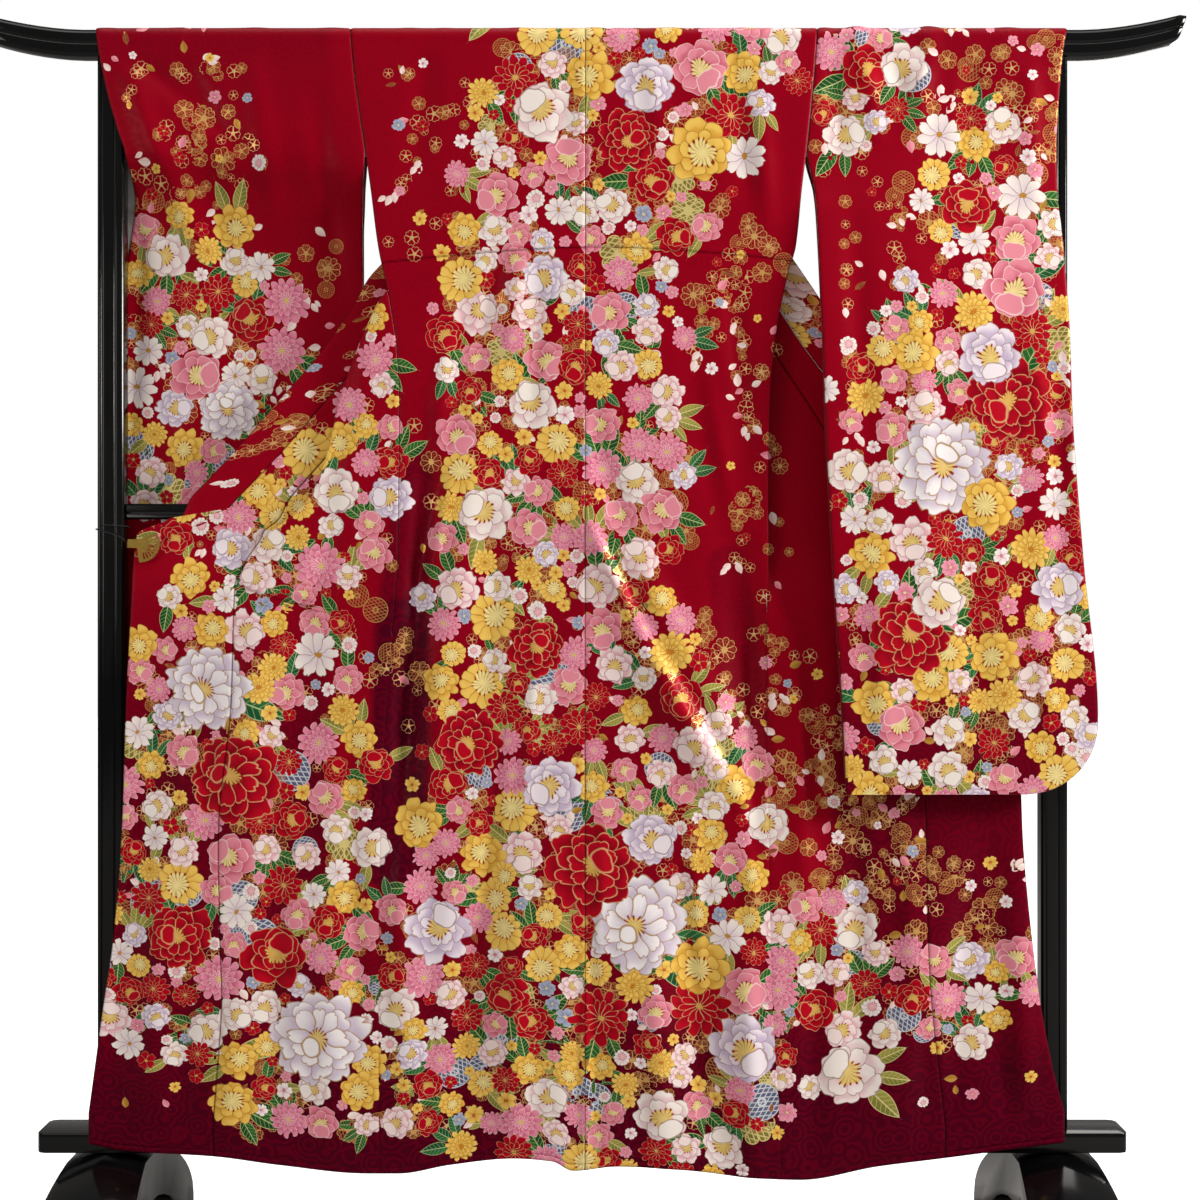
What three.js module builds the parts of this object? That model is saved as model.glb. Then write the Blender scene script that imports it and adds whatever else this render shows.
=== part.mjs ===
import * as THREE from 'three';

// A furisode kimono that hangs by its sleeves on a lacquered kimono stand, with its back to -Y.
// Millimetres, +Z up, +X to the right of a viewer who looks along +Y at the garment's back.
// The origin is on the floor, under the middle of the stand.

// ---- Driving dimensions: cloth ----
const WALL = 2; // every cloth wall
const SEAM = 0.3; // gap between two sewn pieces
const CENTRE_BACK = 4; // x of the seam down the back
const FRONT_CUT = 238; // cut width of a front body panel
const COLLAR_CUT = 50; // width of the folded collar band
const PLEAT_ROUND = 6; // softness of a pleat's turn
const TURN_EASE = 2.6; // more room in the collar's seam where the front turns over
const NECK_DROP = 62; // how far the back neck band hangs behind the bar
const HEM_EASE_TOP = 430; // below this height the rows of cloth follow the hem's wave

// ---- Driving dimensions: stand ----
const BAR = { top: 1744, height: 39, depth: 36, reach: 862, lift: 24, bend: 712 };
const POST = { x: 672, width: 38, depth: 32 };
const RAIL = { low: 1046, height: 22.5, depth: 16 };
const BOARD = { low: 150, height: 28, depth: 84, reach: 771, round: 12 };
const FOOT = { reach: 240, toe: 150, waist: 112, tip: 142, tipHeight: 30, arch: 70, fall: 8 };
const CLIP = { x: 624, z: 1011, radius: 27, plate: 2, ribs: 11, hub: 6, halfStrip: 6, cord: 1.6 };

// ---- Finishes ----
const SILK = new THREE.MeshStandardMaterial({ color: 0xa40a26, roughness: 0.42, side: THREE.DoubleSide });
const LACQUER = new THREE.MeshStandardMaterial({ color: 0x0b0b0d, roughness: 0.12 });
const GILT = new THREE.MeshStandardMaterial({ color: 0xc9a23a, roughness: 0.3, metalness: 1 });
const CORD = new THREE.MeshStandardMaterial({ color: 0x121214, roughness: 0.8 });

const mix = (a, b, t) => a + (b - a) * t;
const clamp = (v, low, high) => Math.min(Math.max(v, low), high);

/** A smooth step from 0 at `from` to 1 at `to`, in either direction. */
function ease(from, to, v) {
  const t = clamp((v - from) / (to - from), 0, 1);
  return t * t * (3 - 2 * t);
}

/**
 * A table with named columns whose first column is its key, in falling order. The result reads
 * every column at a key, along smooth curves that never swing past the rows.
 */
function table(columns, rows) {
  const [key, ...names] = columns;
  const keys = rows.map((row) => row[0]);
  const curves = names.map((name, c) => {
    const values = rows.map((row) => row[c + 1]);
    const rises = keys.slice(1).map((k, i) => (values[i + 1] - values[i]) / (k - keys[i]));
    const slopes = values.map((_, i) => {
      const before = rises[Math.max(i - 1, 0)];
      const after = rises[Math.min(i, rises.length - 1)];
      return before * after <= 0 ? 0 : (2 * before * after) / (before + after);
    });
    return { name, values, slopes };
  });
  return (at) => {
    const k = clamp(at, keys[keys.length - 1], keys[0]);
    const i = clamp(keys.findIndex((one) => one <= k) - 1, 0, keys.length - 2);
    const span = keys[i + 1] - keys[i];
    const t = (k - keys[i]) / span;
    const found = { [key]: at };
    for (const { name, values, slopes } of curves) {
      const start = (1 + 2 * t) * (1 - t) ** 2 * values[i] + t * (1 - t) ** 2 * span * slopes[i];
      const end = t * t * (3 - 2 * t) * values[i + 1] + t * t * (t - 1) * span * slopes[i + 1];
      found[name] = start + end;
    }
    return found;
  };
}

// ---- The garment's outline, as distances from x = 0, the same way round on both sides ----
// side: the side seam, and above it the armhole. pleat: the fold edge of the front panel's pleat.
// out: the front's free edge. band: cloth between the front panel and that edge.
const LEFT = table(
  ['z', 'side', 'pleat', 'out', 'band'],
  [
    [1747, 330, 330, 34, 50],
    [1690, 325, 325, 40, 50],
    [1569, 308, 308, 92, 54],
    [1510, 300, 300, 201, 60],
    [1434, 290, 290, 269, 80],
    [1391, 281, 284, 308, 90],
    [1356, 273, 297, 326, 98],
    [1288, 263, 326, 372, 116],
    [1213, 259, 352, 436, 125],
    [1142, 259, 368, 497, 138],
    [1077, 260, 392, 558, 143],
    [1045, 260, 424, 590, 158],
    [1026, 261, 450, 634, 180],
    [988, 261, 478, 637, 162],
    [940, 264, 494, 638, 146],
    [790, 278, 500, 645, 150],
    [620, 286, 510, 650, 138],
    [468, 288, 510, 661, 150],
    [340, 288, 510, 676, 168],
    [166, 287, 520, 695, 176],
  ],
);
const RIGHT = table(
  ['z', 'side', 'pleat', 'out', 'band'],
  [
    [1747, 334, 334, 34, 50],
    [1690, 330, 330, 40, 50],
    [1569, 318, 318, 98, 54],
    [1510, 311, 311, 212, 60],
    [1434, 303, 303, 292, 80],
    [1391, 291, 291, 322, 90],
    [1288, 272, 272, 388, 116],
    [1213, 266, 266, 446, 125],
    [1142, 264, 264, 505, 138],
    [1077, 263, 263, 562, 143],
    [1045, 263, 263, 596, 158],
    [1026, 263, 263, 628, 176],
    [988, 263, 263, 631, 160],
    [940, 263, 263, 628, 144],
    [790, 263, 263, 618, 134],
    [620, 264, 264, 621, 136],
    [393, 268, 268, 641, 152],
    [265, 275, 275, 659, 158],
    [166, 280, 280, 679, 168],
  ],
);

// The depth of the cloth. back: the outside of the back, and of the fronts where they lie open.
// behind: the outside of a front where it lies closed, behind the back.
const DEPTH = table(
  ['z', 'back', 'behind'],
  [
    [1722, -21, 21],
    [1690, -23, 21],
    [1569, -27, 14],
    [1434, -29, 2],
    [1300, -31.5, -8],
    [1122, -34.7, -20],
    [1045, -36.5, -25],
    [960, -38, -29],
    [620, -44, -36],
    [160, -53, -45],
  ],
);
const OPEN_STEP = 6; // an open front lies this far behind its own hidden leg

// The hem's height across the spread garment
const HEM = table(
  ['x', 'z'],
  [
    [695, 170],
    [504, 145],
    [416, 134],
    [308, 115],
    [247, 117],
    [138, 129],
    [49, 134],
    [-13, 128],
    [-42, 141],
    [-96, 145],
    [-186, 136],
    [-258, 124],
    [-301, 124],
    [-427, 136],
    [-518, 148],
    [-645, 156],
    [-695, 166],
  ],
);
const HEM_LOWEST = 115;

// Sleeves. inner: the edge beside the body. outer: the cuff edge and the seam below it. rear: the
// same edge of the layer behind. face and back: depth of the two layers' outsides in mid-width.
const SLEEVE_FOOT = 659; // height of the sleeves' lower edge
const SLEEVE_ROUND = 100; // radius of the lower outer corner
const LEFT_SLEEVE = table(
  ['z', 'inner', 'outer', 'rear', 'face', 'back', 'cuff'],
  [
    [1747, 330.3, 693, 693, -21, 21, -21],
    [1722, 328.5, 690, 690, -21, 21, -21],
    [1654, 321, 676, 684, -24, 22, -22.5],
    [1597, 312, 660, 676, -25, 24, -23],
    [1569, 308.4, 651, 672, -22, 25, -22],
    [1510, 313, 643, 668, -6, 29, 10],
    [1450, 316, 652, 664, 8, 34, 24],
    [1380, 316, 664, 664, 16, 36, 30],
    [1300, 317, 665, 665, 20, 40, 31],
    [1068, 319, 666, 666, 21, 41, 31],
    [659, 322, 668, 668, 21, 41, 31],
  ],
);
const RIGHT_SLEEVE = table(
  ['z', 'inner', 'outer', 'rear', 'face', 'back', 'cuff'],
  [
    [1747, 334.3, 690, 690, -21, 21, -21],
    [1722, 332.7, 685, 676, -22, 21, -21],
    [1690, 330.5, 681, 649, -23, 21, -22],
    [1654, 327, 678, 645, -24, 17, -23],
    [1597, 321.5, 674, 643, -27, 6, -24],
    [1569, 318.4, 673, 643, -29, 0, -26],
    [1510, 329, 673, 647, -38, -14, -34],
    [1450, 332, 677, 677, -48, -27, -43],
    [1380, 334, 681, 681, -59, -42, -54],
    [1300, 337, 684, 684, -69, -50, -64],
    [1215, 339, 686, 686, -73, -53, -67],
    [988, 350, 702, 702, -74, -53, -68],
    [768, 364, 722, 722, -74, -53, -69],
    [659, 369, 722, 722, -74, -53, -69],
  ],
);
const ARMHOLE_FOOT = 1569; // a sleeve is sewn to the body above this height
const CUFF_FOOT = 1520; // a cuff is open above this height

// ---- Large folds: soft troughs (+) and ridges (-) along a line from (x0, z0) to (x1, z1) ----
const foldTable = (rows) =>
  rows.map(([x0, z0, x1, z1, depth, width]) => ({ x0, z0, x1, z1, depth, width }));
const BACK_FOLDS = foldTable([
  [-165, 1400, -200, 1090, 9, 24],
  [-200, 1090, -272, 560, 11, 30],
  [-175, 1215, -236, 800, -9, 30],
  [-6, 1090, 90, 870, -8, 34],
  [90, 870, 224, 640, -12, 36],
  [152, 1320, 224, 980, 6, 30],
  [224, 980, 248, 650, 12, 32],
  [-120, 640, -160, 160, 9, 42],
  [60, 560, 40, 140, -8, 40],
  [150, 480, 190, 130, 8, 36],
  [-40, 520, -30, 140, -7, 34],
]);
const LEFT_FRONT_FOLDS = foldTable([
  [-390, 960, -400, 520, 6, 34],
  [-470, 900, -560, 420, -6, 36],
  [-600, 900, -640, 300, 5, 34],
  [-360, 520, -350, 150, -6, 30],
]);
const RIGHT_FRONT_FOLDS = foldTable([
  [330, 900, 350, 300, 6, 36],
  [520, 560, 430, 160, -7, 40],
  [575, 640, 560, 200, 6, 34],
]);
const LEFT_SLEEVE_FOLDS = foldTable([
  [-690, 1740, -520, 1380, -4, 26],
  [-620, 1380, -600, 800, 5, 34],
  [-430, 1300, -420, 700, 4, 34],
]);
const RIGHT_SLEEVE_FOLDS = foldTable([
  [420, 1300, 440, 760, -4, 34],
  [600, 1380, 620, 900, 4, 30],
  [520, 1700, 500, 1540, 3, 22],
]);

/** How far the folds move a point of the cloth away from the viewer. */
function foldDepth(folds, x, z) {
  let depth = 0;
  for (const fold of folds) {
    const [dx, dz] = [fold.x1 - fold.x0, fold.z1 - fold.z0];
    const long2 = dx * dx + dz * dz;
    const t = ((x - fold.x0) * dx + (z - fold.z0) * dz) / long2;
    const held = clamp(t, 0, 1);
    const away = Math.hypot(x - fold.x0 - held * dx, z - fold.z0 - held * dz) / fold.width;
    depth += fold.depth * Math.exp(-away * away) * Math.sin(Math.PI * (0.12 + 0.76 * held));
  }
  return depth;
}

/** A ramp that is 0 before t = 0 and t after it, rounded over `soft`. */
const ramp = (t, soft) => (t + Math.hypot(t, soft)) / 2;
/** The slope of that ramp. */
const turn = (t, soft) => (1 + t / Math.hypot(t, soft)) / 2;

/** Where the front's two turns lie at height z, across it from the side seam. */
function frontTurns(sign, z) {
  const edge = (sign < 0 ? LEFT : RIGHT)(z);
  const folded = ease(880, 960, z);
  const spare = Math.max(0, edge.side + FRONT_CUT + edge.band - edge.out) * folded;
  const soft = PLEAT_ROUND * (1 + 1.4 * ease(1330, 1450, z));
  const pleated = sign < 0 ? ease(1394, 1346, z) : 0;
  const first = Math.max(edge.pleat - edge.side, 0) * folded - 2.4 * soft * (1 - pleated);
  const reach = spare / 2 + ramp(first, soft);
  return { spare, soft, first, second: reach - soft ** 2 / (4 * reach) };
}

/**
 * A point of a front, `s` across it from the side seam at height z. It runs out to the pleat's
 * fold edge, back in behind itself, and out again to the free edge. Where there is less to spare
 * it lies flat, and up at the shoulder it lies closed behind the back.
 */
function frontPoint(sign, z, s) {
  const edge = (sign < 0 ? LEFT : RIGHT)(z);
  const depth = DEPTH(z);
  const { spare, soft, first, second } = frontTurns(sign, z);
  const turnedIn = ramp(s - first, soft) - ramp(-first, soft);
  const turnedOut = ramp(s - second, soft) - ramp(-second, soft);
  const across = edge.side + SEAM + s - 2 * turnedIn + 2 * turnedOut;
  const stacked = ease(0, 40, spare);
  const behind = (depth.behind - depth.back) * turn(s - first, soft);
  const open = OPEN_STEP * (1 + ease(1330, 1450, z)) * turn(s - second, soft);
  let y = depth.back + stacked * (behind + open);
  const sewn = ease(1444, 1404, z) * (1 - ease(0, 30, s));
  const beside = depth.back + (sign < 0 && first > 0 ? 0 : 2 * WALL + SEAM) * stacked;
  y = mix(y, beside, sewn);
  const x = sign * across;
  const folds = sign < 0 ? LEFT_FRONT_FOLDS : RIGHT_FRONT_FOLDS;
  y += foldDepth(folds, x, z) * (1 - ease(880, 980, z)) * ease(0, 60, s);
  y += foldDepth(BACK_FOLDS, x, z) * (1 - ease(700, 900, z)) * (1 - ease(0, 60, s));
  return new THREE.Vector3(x, y, hemmed(x, z));
}

/** The height of a row of cloth at x: low rows bend until the lowest follows the hem. */
function hemmed(x, z) {
  const t = 1 - clamp((z - HEM_LOWEST) / (HEM_EASE_TOP - HEM_LOWEST), 0, 1);
  return z + t * (HEM(x).z - HEM_LOWEST);
}

/** The cut width of a front body panel at height z. It is narrower where the front lies flat. */
function panelWidth(sign, z) {
  const edge = (sign < 0 ? LEFT : RIGHT)(z);
  const flat = edge.out - edge.side - edge.band;
  return mix(flat, Math.max(FRONT_CUT, flat), ease(880, 960, z));
}

/**
 * How far across a front panel the fraction `q` lies. A third of the columns go to each leg of
 * the cloth, so that its turns lie on columns, and they spread evenly where it has none.
 */
function panelAcross(sign, z, q) {
  const width = panelWidth(sign, z);
  const { first, second } = frontTurns(sign, z);
  const aligned = ease(1700, 1580, z) * ease(780, 950, z);
  const legs = sign < 0 ? [0, 0.3, 0.6, 1] : [0, 0.1, 0.6, 1];
  const turns = [0, clamp(first, 12, width - 45), clamp(second, 30, width - 18), width];
  const stops = turns.map((at, i) => mix(legs[i] * width, at, aligned));
  const leg = clamp(legs.findIndex((end) => end > q) - 1, 0, 2);
  const part = q >= 1 ? 2 : leg;
  return mix(stops[part], stops[part + 1], (q - legs[part]) / (legs[part + 1] - legs[part]));
}

/** A point of the back, `u` of the way from the centre back seam to the side. */
function backPoint(sign, z, u) {
  const edge = (sign < 0 ? LEFT : RIGHT)(z);
  const inner = CENTRE_BACK * sign + SEAM / 2;
  const x = sign * mix(inner, edge.side, u);
  const settled = ease(1700, 1560, z);
  return new THREE.Vector3(x, DEPTH(z).back + settled * foldDepth(BACK_FOLDS, x, z), hemmed(x, z));
}

// The cloth's way over the bar: depth and height of its outside
const OVER_BAR = [
  { y: -21, z: 1722 },
  { y: -21, z: 1739 },
  { y: -13.5, z: 1746.8 },
  { y: 0, z: 1747 },
  { y: 13.5, z: 1746.8 },
  { y: 21, z: 1739 },
  { y: 21, z: 1722 },
];
const BACK_LEVELS = [
  115, 185, 290, 400, 510, 620, 720, 820, 920, 1030, 1140, 1250, 1350, 1450, 1569, 1610, 1650, 1690,
];
const FRONT_LEVELS = [
  1690, 1650, 1610, 1569, 1555, 1545, 1535, 1525, 1510, 1470, 1434, 1405, 1391, 1382, 1373, 1364,
  1354, 1335, 1288, 1235, 1182, 1130, 1086, 1062, 1048, 1028, 1004, 970, 930, 870, 780, 680, 570,
  460, 350, 250, 175, 115,
];
const SLEEVE_LEVELS = [
  SLEEVE_FOOT, 668, 690, 725, 768, 860, 960, 1068, 1180, 1290, 1380, 1450, 1510, 1569, 1610, 1650,
  1690,
];
const KENSAKI = FRONT_LEVELS.indexOf(1510); // row where the overlap panel begins
const COLLAR_END = FRONT_LEVELS.indexOf(1062); // last row beside the collar

/**
 * A closed wall from its outside: `point(row, across)` is evaluated on every row at the
 * fractions in `columns`, and the inside lies WALL further in. `facing` is 1 where across, then
 * along, turns the way the outside faces, or else -1.
 */
function wall(point, firstRow, lastRow, columns, facing) {
  const rows = lastRow - firstRow + 1;
  const count = columns.length;
  const outside = [];
  const inside = [];
  const step = 0.002;
  for (let r = firstRow; r <= lastRow; r += 1) {
    for (const u of columns) {
      const p = point(r, u);
      const across = point(r, u + step).sub(point(r, u - step));
      const along = point(r + 1, u).sub(point(r - 1, u));
      const normal = across.cross(along).normalize().multiplyScalar(facing);
      outside.push(p);
      inside.push(p.clone().addScaledVector(normal, -WALL));
    }
  }
  const points = [...outside, ...inside];
  const faces = [];
  const quad = (a, b, c, d) => faces.push(a, b, c, a, c, d);
  const offset = rows * count;
  for (let r = 0; r < rows - 1; r += 1) {
    for (let c = 0; c < count - 1; c += 1) {
      const a = r * count + c;
      quad(a, a + 1, a + count + 1, a + count);
      quad(offset + a, offset + a + count, offset + a + count + 1, offset + a + 1);
    }
    const [left, right] = [r * count, r * count + count - 1];
    quad(left, left + count, offset + left + count, offset + left);
    quad(right, offset + right, offset + right + count, right + count);
  }
  for (let c = 0; c < count - 1; c += 1) {
    const top = (rows - 1) * count + c;
    quad(c, offset + c, offset + c + 1, c + 1);
    quad(top, top + 1, offset + top + 1, offset + top);
  }
  return solid(points, faces, facing < 0);
}

/** A geometry from points and triangles, turned inside out on request. */
function solid(points, faces, flip = false) {
  const geometry = new THREE.BufferGeometry();
  const places = points.flatMap((p) => [p.x, p.y, p.z]);
  geometry.setAttribute('position', new THREE.Float32BufferAttribute(places, 3));
  const order = [...faces];
  if (flip) {
    for (let i = 0; i < order.length; i += 3) {
      [order[i], order[i + 1]] = [order[i + 1], order[i]];
    }
  }
  geometry.setIndex(order);
  geometry.computeVertexNormals();
  return geometry;
}

/** Even fractions from 0 to 1. */
const fractions = (count) => Array.from({ length: count + 1 }, (_, i) => i / count);

/** A body panel: one length of cloth from the back hem, over the bar, down to the front hem. */
function bodyPanel(sign) {
  const back = BACK_LEVELS.length;
  const over = OVER_BAR.length;
  const point = (row, u) => {
    const r = clamp(row, 0, back + over + FRONT_LEVELS.length - 1);
    if (r < back) return backPoint(sign, BACK_LEVELS[r], u);
    if (r >= back + over) {
      const z = FRONT_LEVELS[r - back - over];
      return frontPoint(sign, z, panelAcross(sign, z, 1 - u));
    }
    const { y, z } = OVER_BAR[r - back];
    const neck = ease(8, 21, y);
    const onBack = backPoint(sign, z, u).x;
    const onFront = frontPoint(sign, z, (1 - u) * FRONT_CUT).x;
    return new THREE.Vector3(mix(onBack, onFront, neck), y, z);
  };
  return wall(point, 0, back + over + FRONT_LEVELS.length - 1, fractions(10), sign);
}

/** A point on a front row: `s` is counted from the panel's inner seam. */
function bandPoint(sign, row, s) {
  const z = FRONT_LEVELS[clamp(row, 0, FRONT_LEVELS.length - 1)];
  return frontPoint(sign, z, panelWidth(sign, z) + SEAM + s);
}

/** The width of the overlap panel on a row: it starts at a point beside the collar. */
function overlapWidth(sign, row) {
  const z = FRONT_LEVELS[clamp(row, 0, FRONT_LEVELS.length - 1)];
  const { band } = (sign < 0 ? LEFT : RIGHT)(z);
  return row > COLLAR_END ? band - 2 * SEAM : band - collarWidth(z) - 2 * SEAM;
}

/** The collar band's width along a level row: wider where the band runs aslant. */
function collarWidth(z) {
  return mix(COLLAR_CUT, COLLAR_CUT * 1.36, ease(1560, 1330, z));
}

/** The overlap panel (okumi), sewn to the front panel's inner edge. */
function overlapPanel(sign) {
  const point = (row, u) => bandPoint(sign, row, u * overlapWidth(sign, row));
  return wall(point, KENSAKI, FRONT_LEVELS.length - 1, fractions(5), -sign);
}

/** The collar: one band from the end on the left front, round the back of the neck, to the right. */
function collar() {
  const fronts = COLLAR_END + 1;
  const neckCurve = fractions(8).slice(1, -1);
  const total = 2 * fronts + neckCurve.length;
  const free = BAR.top + 3 - NECK_DROP;
  const point = (row, u) => {
    const r = clamp(row, 0, total - 1);
    if (r < fronts || r >= total - fronts) {
      const sign = r < fronts ? -1 : 1;
      const level = sign < 0 ? COLLAR_END - r : r - (total - fronts);
      const width = collarWidth(FRONT_LEVELS[level]);
      const start = Math.max(overlapWidth(sign, level), 0) + SEAM * Number(level >= KENSAKI);
      const z = FRONT_LEVELS[level];
      const eased = TURN_EASE * ease(1490, 1525, z) * ease(1620, 1570, z);
      const placed = bandPoint(sign, level, (level < KENSAKI ? 0 : start) + eased + u * width);
      if (level === COLLAR_END) placed.z += 0.6 - 10.5 * u;
      return placed;
    }
    const t = neckCurve[r - fronts];
    const x = mix(-1, 1, t);
    const sewn = new THREE.Vector3(x * 90, 21, BAR.top - 7 - 42 * Math.abs(x) ** 8);
    const loose = new THREE.Vector3(x * 38, 22 + 3 * (1 - x * x), free - 4 * x * x);
    return sewn.lerp(loose, u);
  };
  return wall(point, 0, total - 1, fractions(3), -1);
}

/** A sleeve: one length of cloth from its foot nearer the viewer, over the bar, to its other foot. */
function sleeve(sign) {
  const shape = sign < 0 ? LEFT_SLEEVE : RIGHT_SLEEVE;
  const folds = sign < 0 ? LEFT_SLEEVE_FOLDS : RIGHT_SLEEVE_FOLDS;
  const count = SLEEVE_LEVELS.length;
  const over = OVER_BAR.length;
  const body = sign < 0 ? LEFT : RIGHT;
  const edgeAt = (z, u, rear) => {
    const row = shape(z);
    if (z >= ARMHOLE_FOOT) row.inner = body(z).side + 2 * SEAM;
    const up = clamp(SLEEVE_FOOT + SLEEVE_ROUND - z, 0, SLEEVE_ROUND);
    const rounding = SLEEVE_ROUND - Math.sqrt(SLEEVE_ROUND ** 2 - up ** 2);
    return mix(row.inner, (rear ? row.rear : row.outer) - rounding, u);
  };
  const layer = (z, u, rear) => {
    const row = shape(z);
    const across = edgeAt(z, u, rear);
    const x = sign * across;
    const joined = 2 * WALL + SEAM;
    const seam = mix(row.face, row.cuff, u);
    const sewnEdge = ease(CUFF_FOOT, CUFF_FOOT - 70, z) * ease(0.8, 1, u);
    const shut = Math.max(sewnEdge, ease(SLEEVE_FOOT + 45, SLEEVE_FOOT, z));
    const beside = ease(ARMHOLE_FOOT - 90, ARMHOLE_FOOT, z) * ease(0.35, 0, u);
    const wave = foldDepth(folds, x, z) * ease(0, 0.2, u) * ease(1, 0.85, u);
    let y = mix(seam + wave, DEPTH(z).back, beside);
    if (rear) {
      const rearSlope = mix(row.back, row.back + (row.cuff - row.face) * Number(z < 1500), u);
      const hung = mix(rearSlope + wave, frontPoint(sign, z, 0).y, beside);
      y = mix(hung, seam + wave + joined, shut);
    }
    return new THREE.Vector3(x, y, z);
  };
  const last = 2 * count + over - 1;
  const point = (row, u) => {
    const r = clamp(row, 0, last);
    if (r < count) return layer(SLEEVE_LEVELS[r], u, false);
    if (r >= count + over) return layer(SLEEVE_LEVELS[last - r], u, true);
    const { y, z } = OVER_BAR[r - count];
    const rear = ease(-10, 10, y);
    return new THREE.Vector3(sign * mix(edgeAt(z, u, false), edgeAt(z, u, true), rear), y, z);
  };
  return wall(point, 0, last, fractions(8), sign);
}

/** A closed solid through rings of equal length, with flat ends. `ends` gives an end's 2-D view. */
function loft(rings, ends) {
  const count = rings[0].length;
  const faces = [];
  for (let r = 0; r < rings.length - 1; r += 1) {
    for (let c = 0; c < count; c += 1) {
      const [a, b] = [r * count + c, r * count + ((c + 1) % count)];
      faces.push(a, b, b + count, a, b + count, a + count);
    }
  }
  const flat = rings[0].map(ends);
  const same = THREE.ShapeUtils.isClockWise(flat) ? -1 : 1;
  const last = (rings.length - 1) * count;
  for (const corners of THREE.ShapeUtils.triangulateShape(flat, [])) {
    const winding = same * THREE.ShapeUtils.area(corners.map((i) => flat[i]));
    const [a, b, c] = winding < 0 ? corners.reverse() : corners;
    faces.push(c, b, a, last + a, last + b, last + c);
  }
  const points = rings.flat();
  return solid(points, faces, signedVolume(points, faces) < 0);
}

/** Six times the volume inside triangles, negative where they face in. */
function signedVolume(points, faces) {
  let volume = 0;
  for (let i = 0; i < faces.length; i += 3) {
    const [a, b, c] = [points[faces[i]], points[faces[i + 1]], points[faces[i + 2]]];
    volume += a.dot(b.clone().cross(c));
  }
  return volume;
}

/** The bar's outline, as depth and height from its middle: a groove runs along each face. */
const BAR_SECTION = [
  [-12, 20], [12, 20], [18, 14], [18, 3], [15.5, 0.5], [18, -2], [18, -14], [13, -19],
  [-13, -19], [-18, -14], [-18, -2], [-15.5, 0.5], [-18, 3], [-18, 14],
];

/** The top bar: straight over the posts, with ends that sweep up and are cut aslant. */
function topBar() {
  const middle = BAR.top - 20;
  const sweep = [1, 0.93, 0.8, 0.67, 0.54, 0.41, 0.28, 0.15, 0].map((f) => mix(BAR.bend, BAR.reach, f));
  const all = [...sweep.map((x) => -x), ...sweep.reverse()];
  const rings = all.map((x) => {
    const end = clamp((Math.abs(x) - BAR.bend) / (BAR.reach - BAR.bend), 0, 1);
    const tip = Math.abs(x) > 0.99 * BAR.reach ? 0.82 : 1;
    return BAR_SECTION.map(([y, z]) => {
      const slant = Math.sign(x) * 0.3 * (z - 20) * end * end;
      return new THREE.Vector3(x + slant, y * tip, middle + BAR.lift * end ** 1.7 + z * tip);
    });
  });
  return loft(rings, (p) => new THREE.Vector2(p.y, p.z));
}

/** A straight piece with the same outline all along, from `from` to `to`. */
function straight(outline, place, from, to) {
  const rings = [from, to].map((at) => outline.map((pair) => place(pair, at)));
  const flat = new Map(rings[0].map((p, i) => [p, new THREE.Vector2(...outline[i])]));
  return loft(rings, (p) => flat.get(p));
}

/** A moulded outline: a rectangle with cut corners and grooves along its two broad faces. */
function moulded(width, depth, corner, grooves, cut) {
  const [w, d] = [width / 2, depth / 2];
  const face = [[-w, -d + corner], [-w + corner, -d]];
  for (const g of grooves) face.push([g - cut, -d], [g, -d + cut], [g + cut, -d]);
  face.push([w - corner, -d], [w, -d + corner]);
  return [...face, ...face.map(([x, y]) => [-x, -y])];
}

const upright = ([x, y], z) => new THREE.Vector3(x, y, z);

/** A post from the base board to the bar. */
function post(sign) {
  const outline = moulded(POST.width, POST.depth, 3, [-12, 6], 1.6).map(([x, y]) => [sign * POST.x + x, y]);
  return straight(outline, upright, BOARD.low + BOARD.height + SEAM, BAR.top - BAR.height - SEAM);
}

/** The rail half way down, between the posts. */
function rail() {
  const outline = moulded(RAIL.height, RAIL.depth, 2.5, [2], 1.5);
  const end = POST.x - POST.width / 2 - SEAM;
  const middle = RAIL.low + RAIL.height / 2;
  return straight(outline, ([h, y], x) => new THREE.Vector3(x, y, middle - h), -end, end);
}

/** The base board: a long plank with rounded corners. */
function baseBoard() {
  const { reach, depth, round, low, height } = BOARD;
  const outline = [];
  for (const [cx, cy, start] of [[1, 1, 0], [-1, 1, 1], [-1, -1, 2], [1, -1, 3]]) {
    for (const part of [0, 0.5, 1]) {
      const angle = ((start + part) * Math.PI) / 2;
      outline.push([
        cx * (reach - round) + round * Math.cos(angle),
        cy * (depth / 2 - round) + round * Math.sin(angle),
      ]);
    }
  }
  return straight(outline, upright, low, low + height);
}

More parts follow.
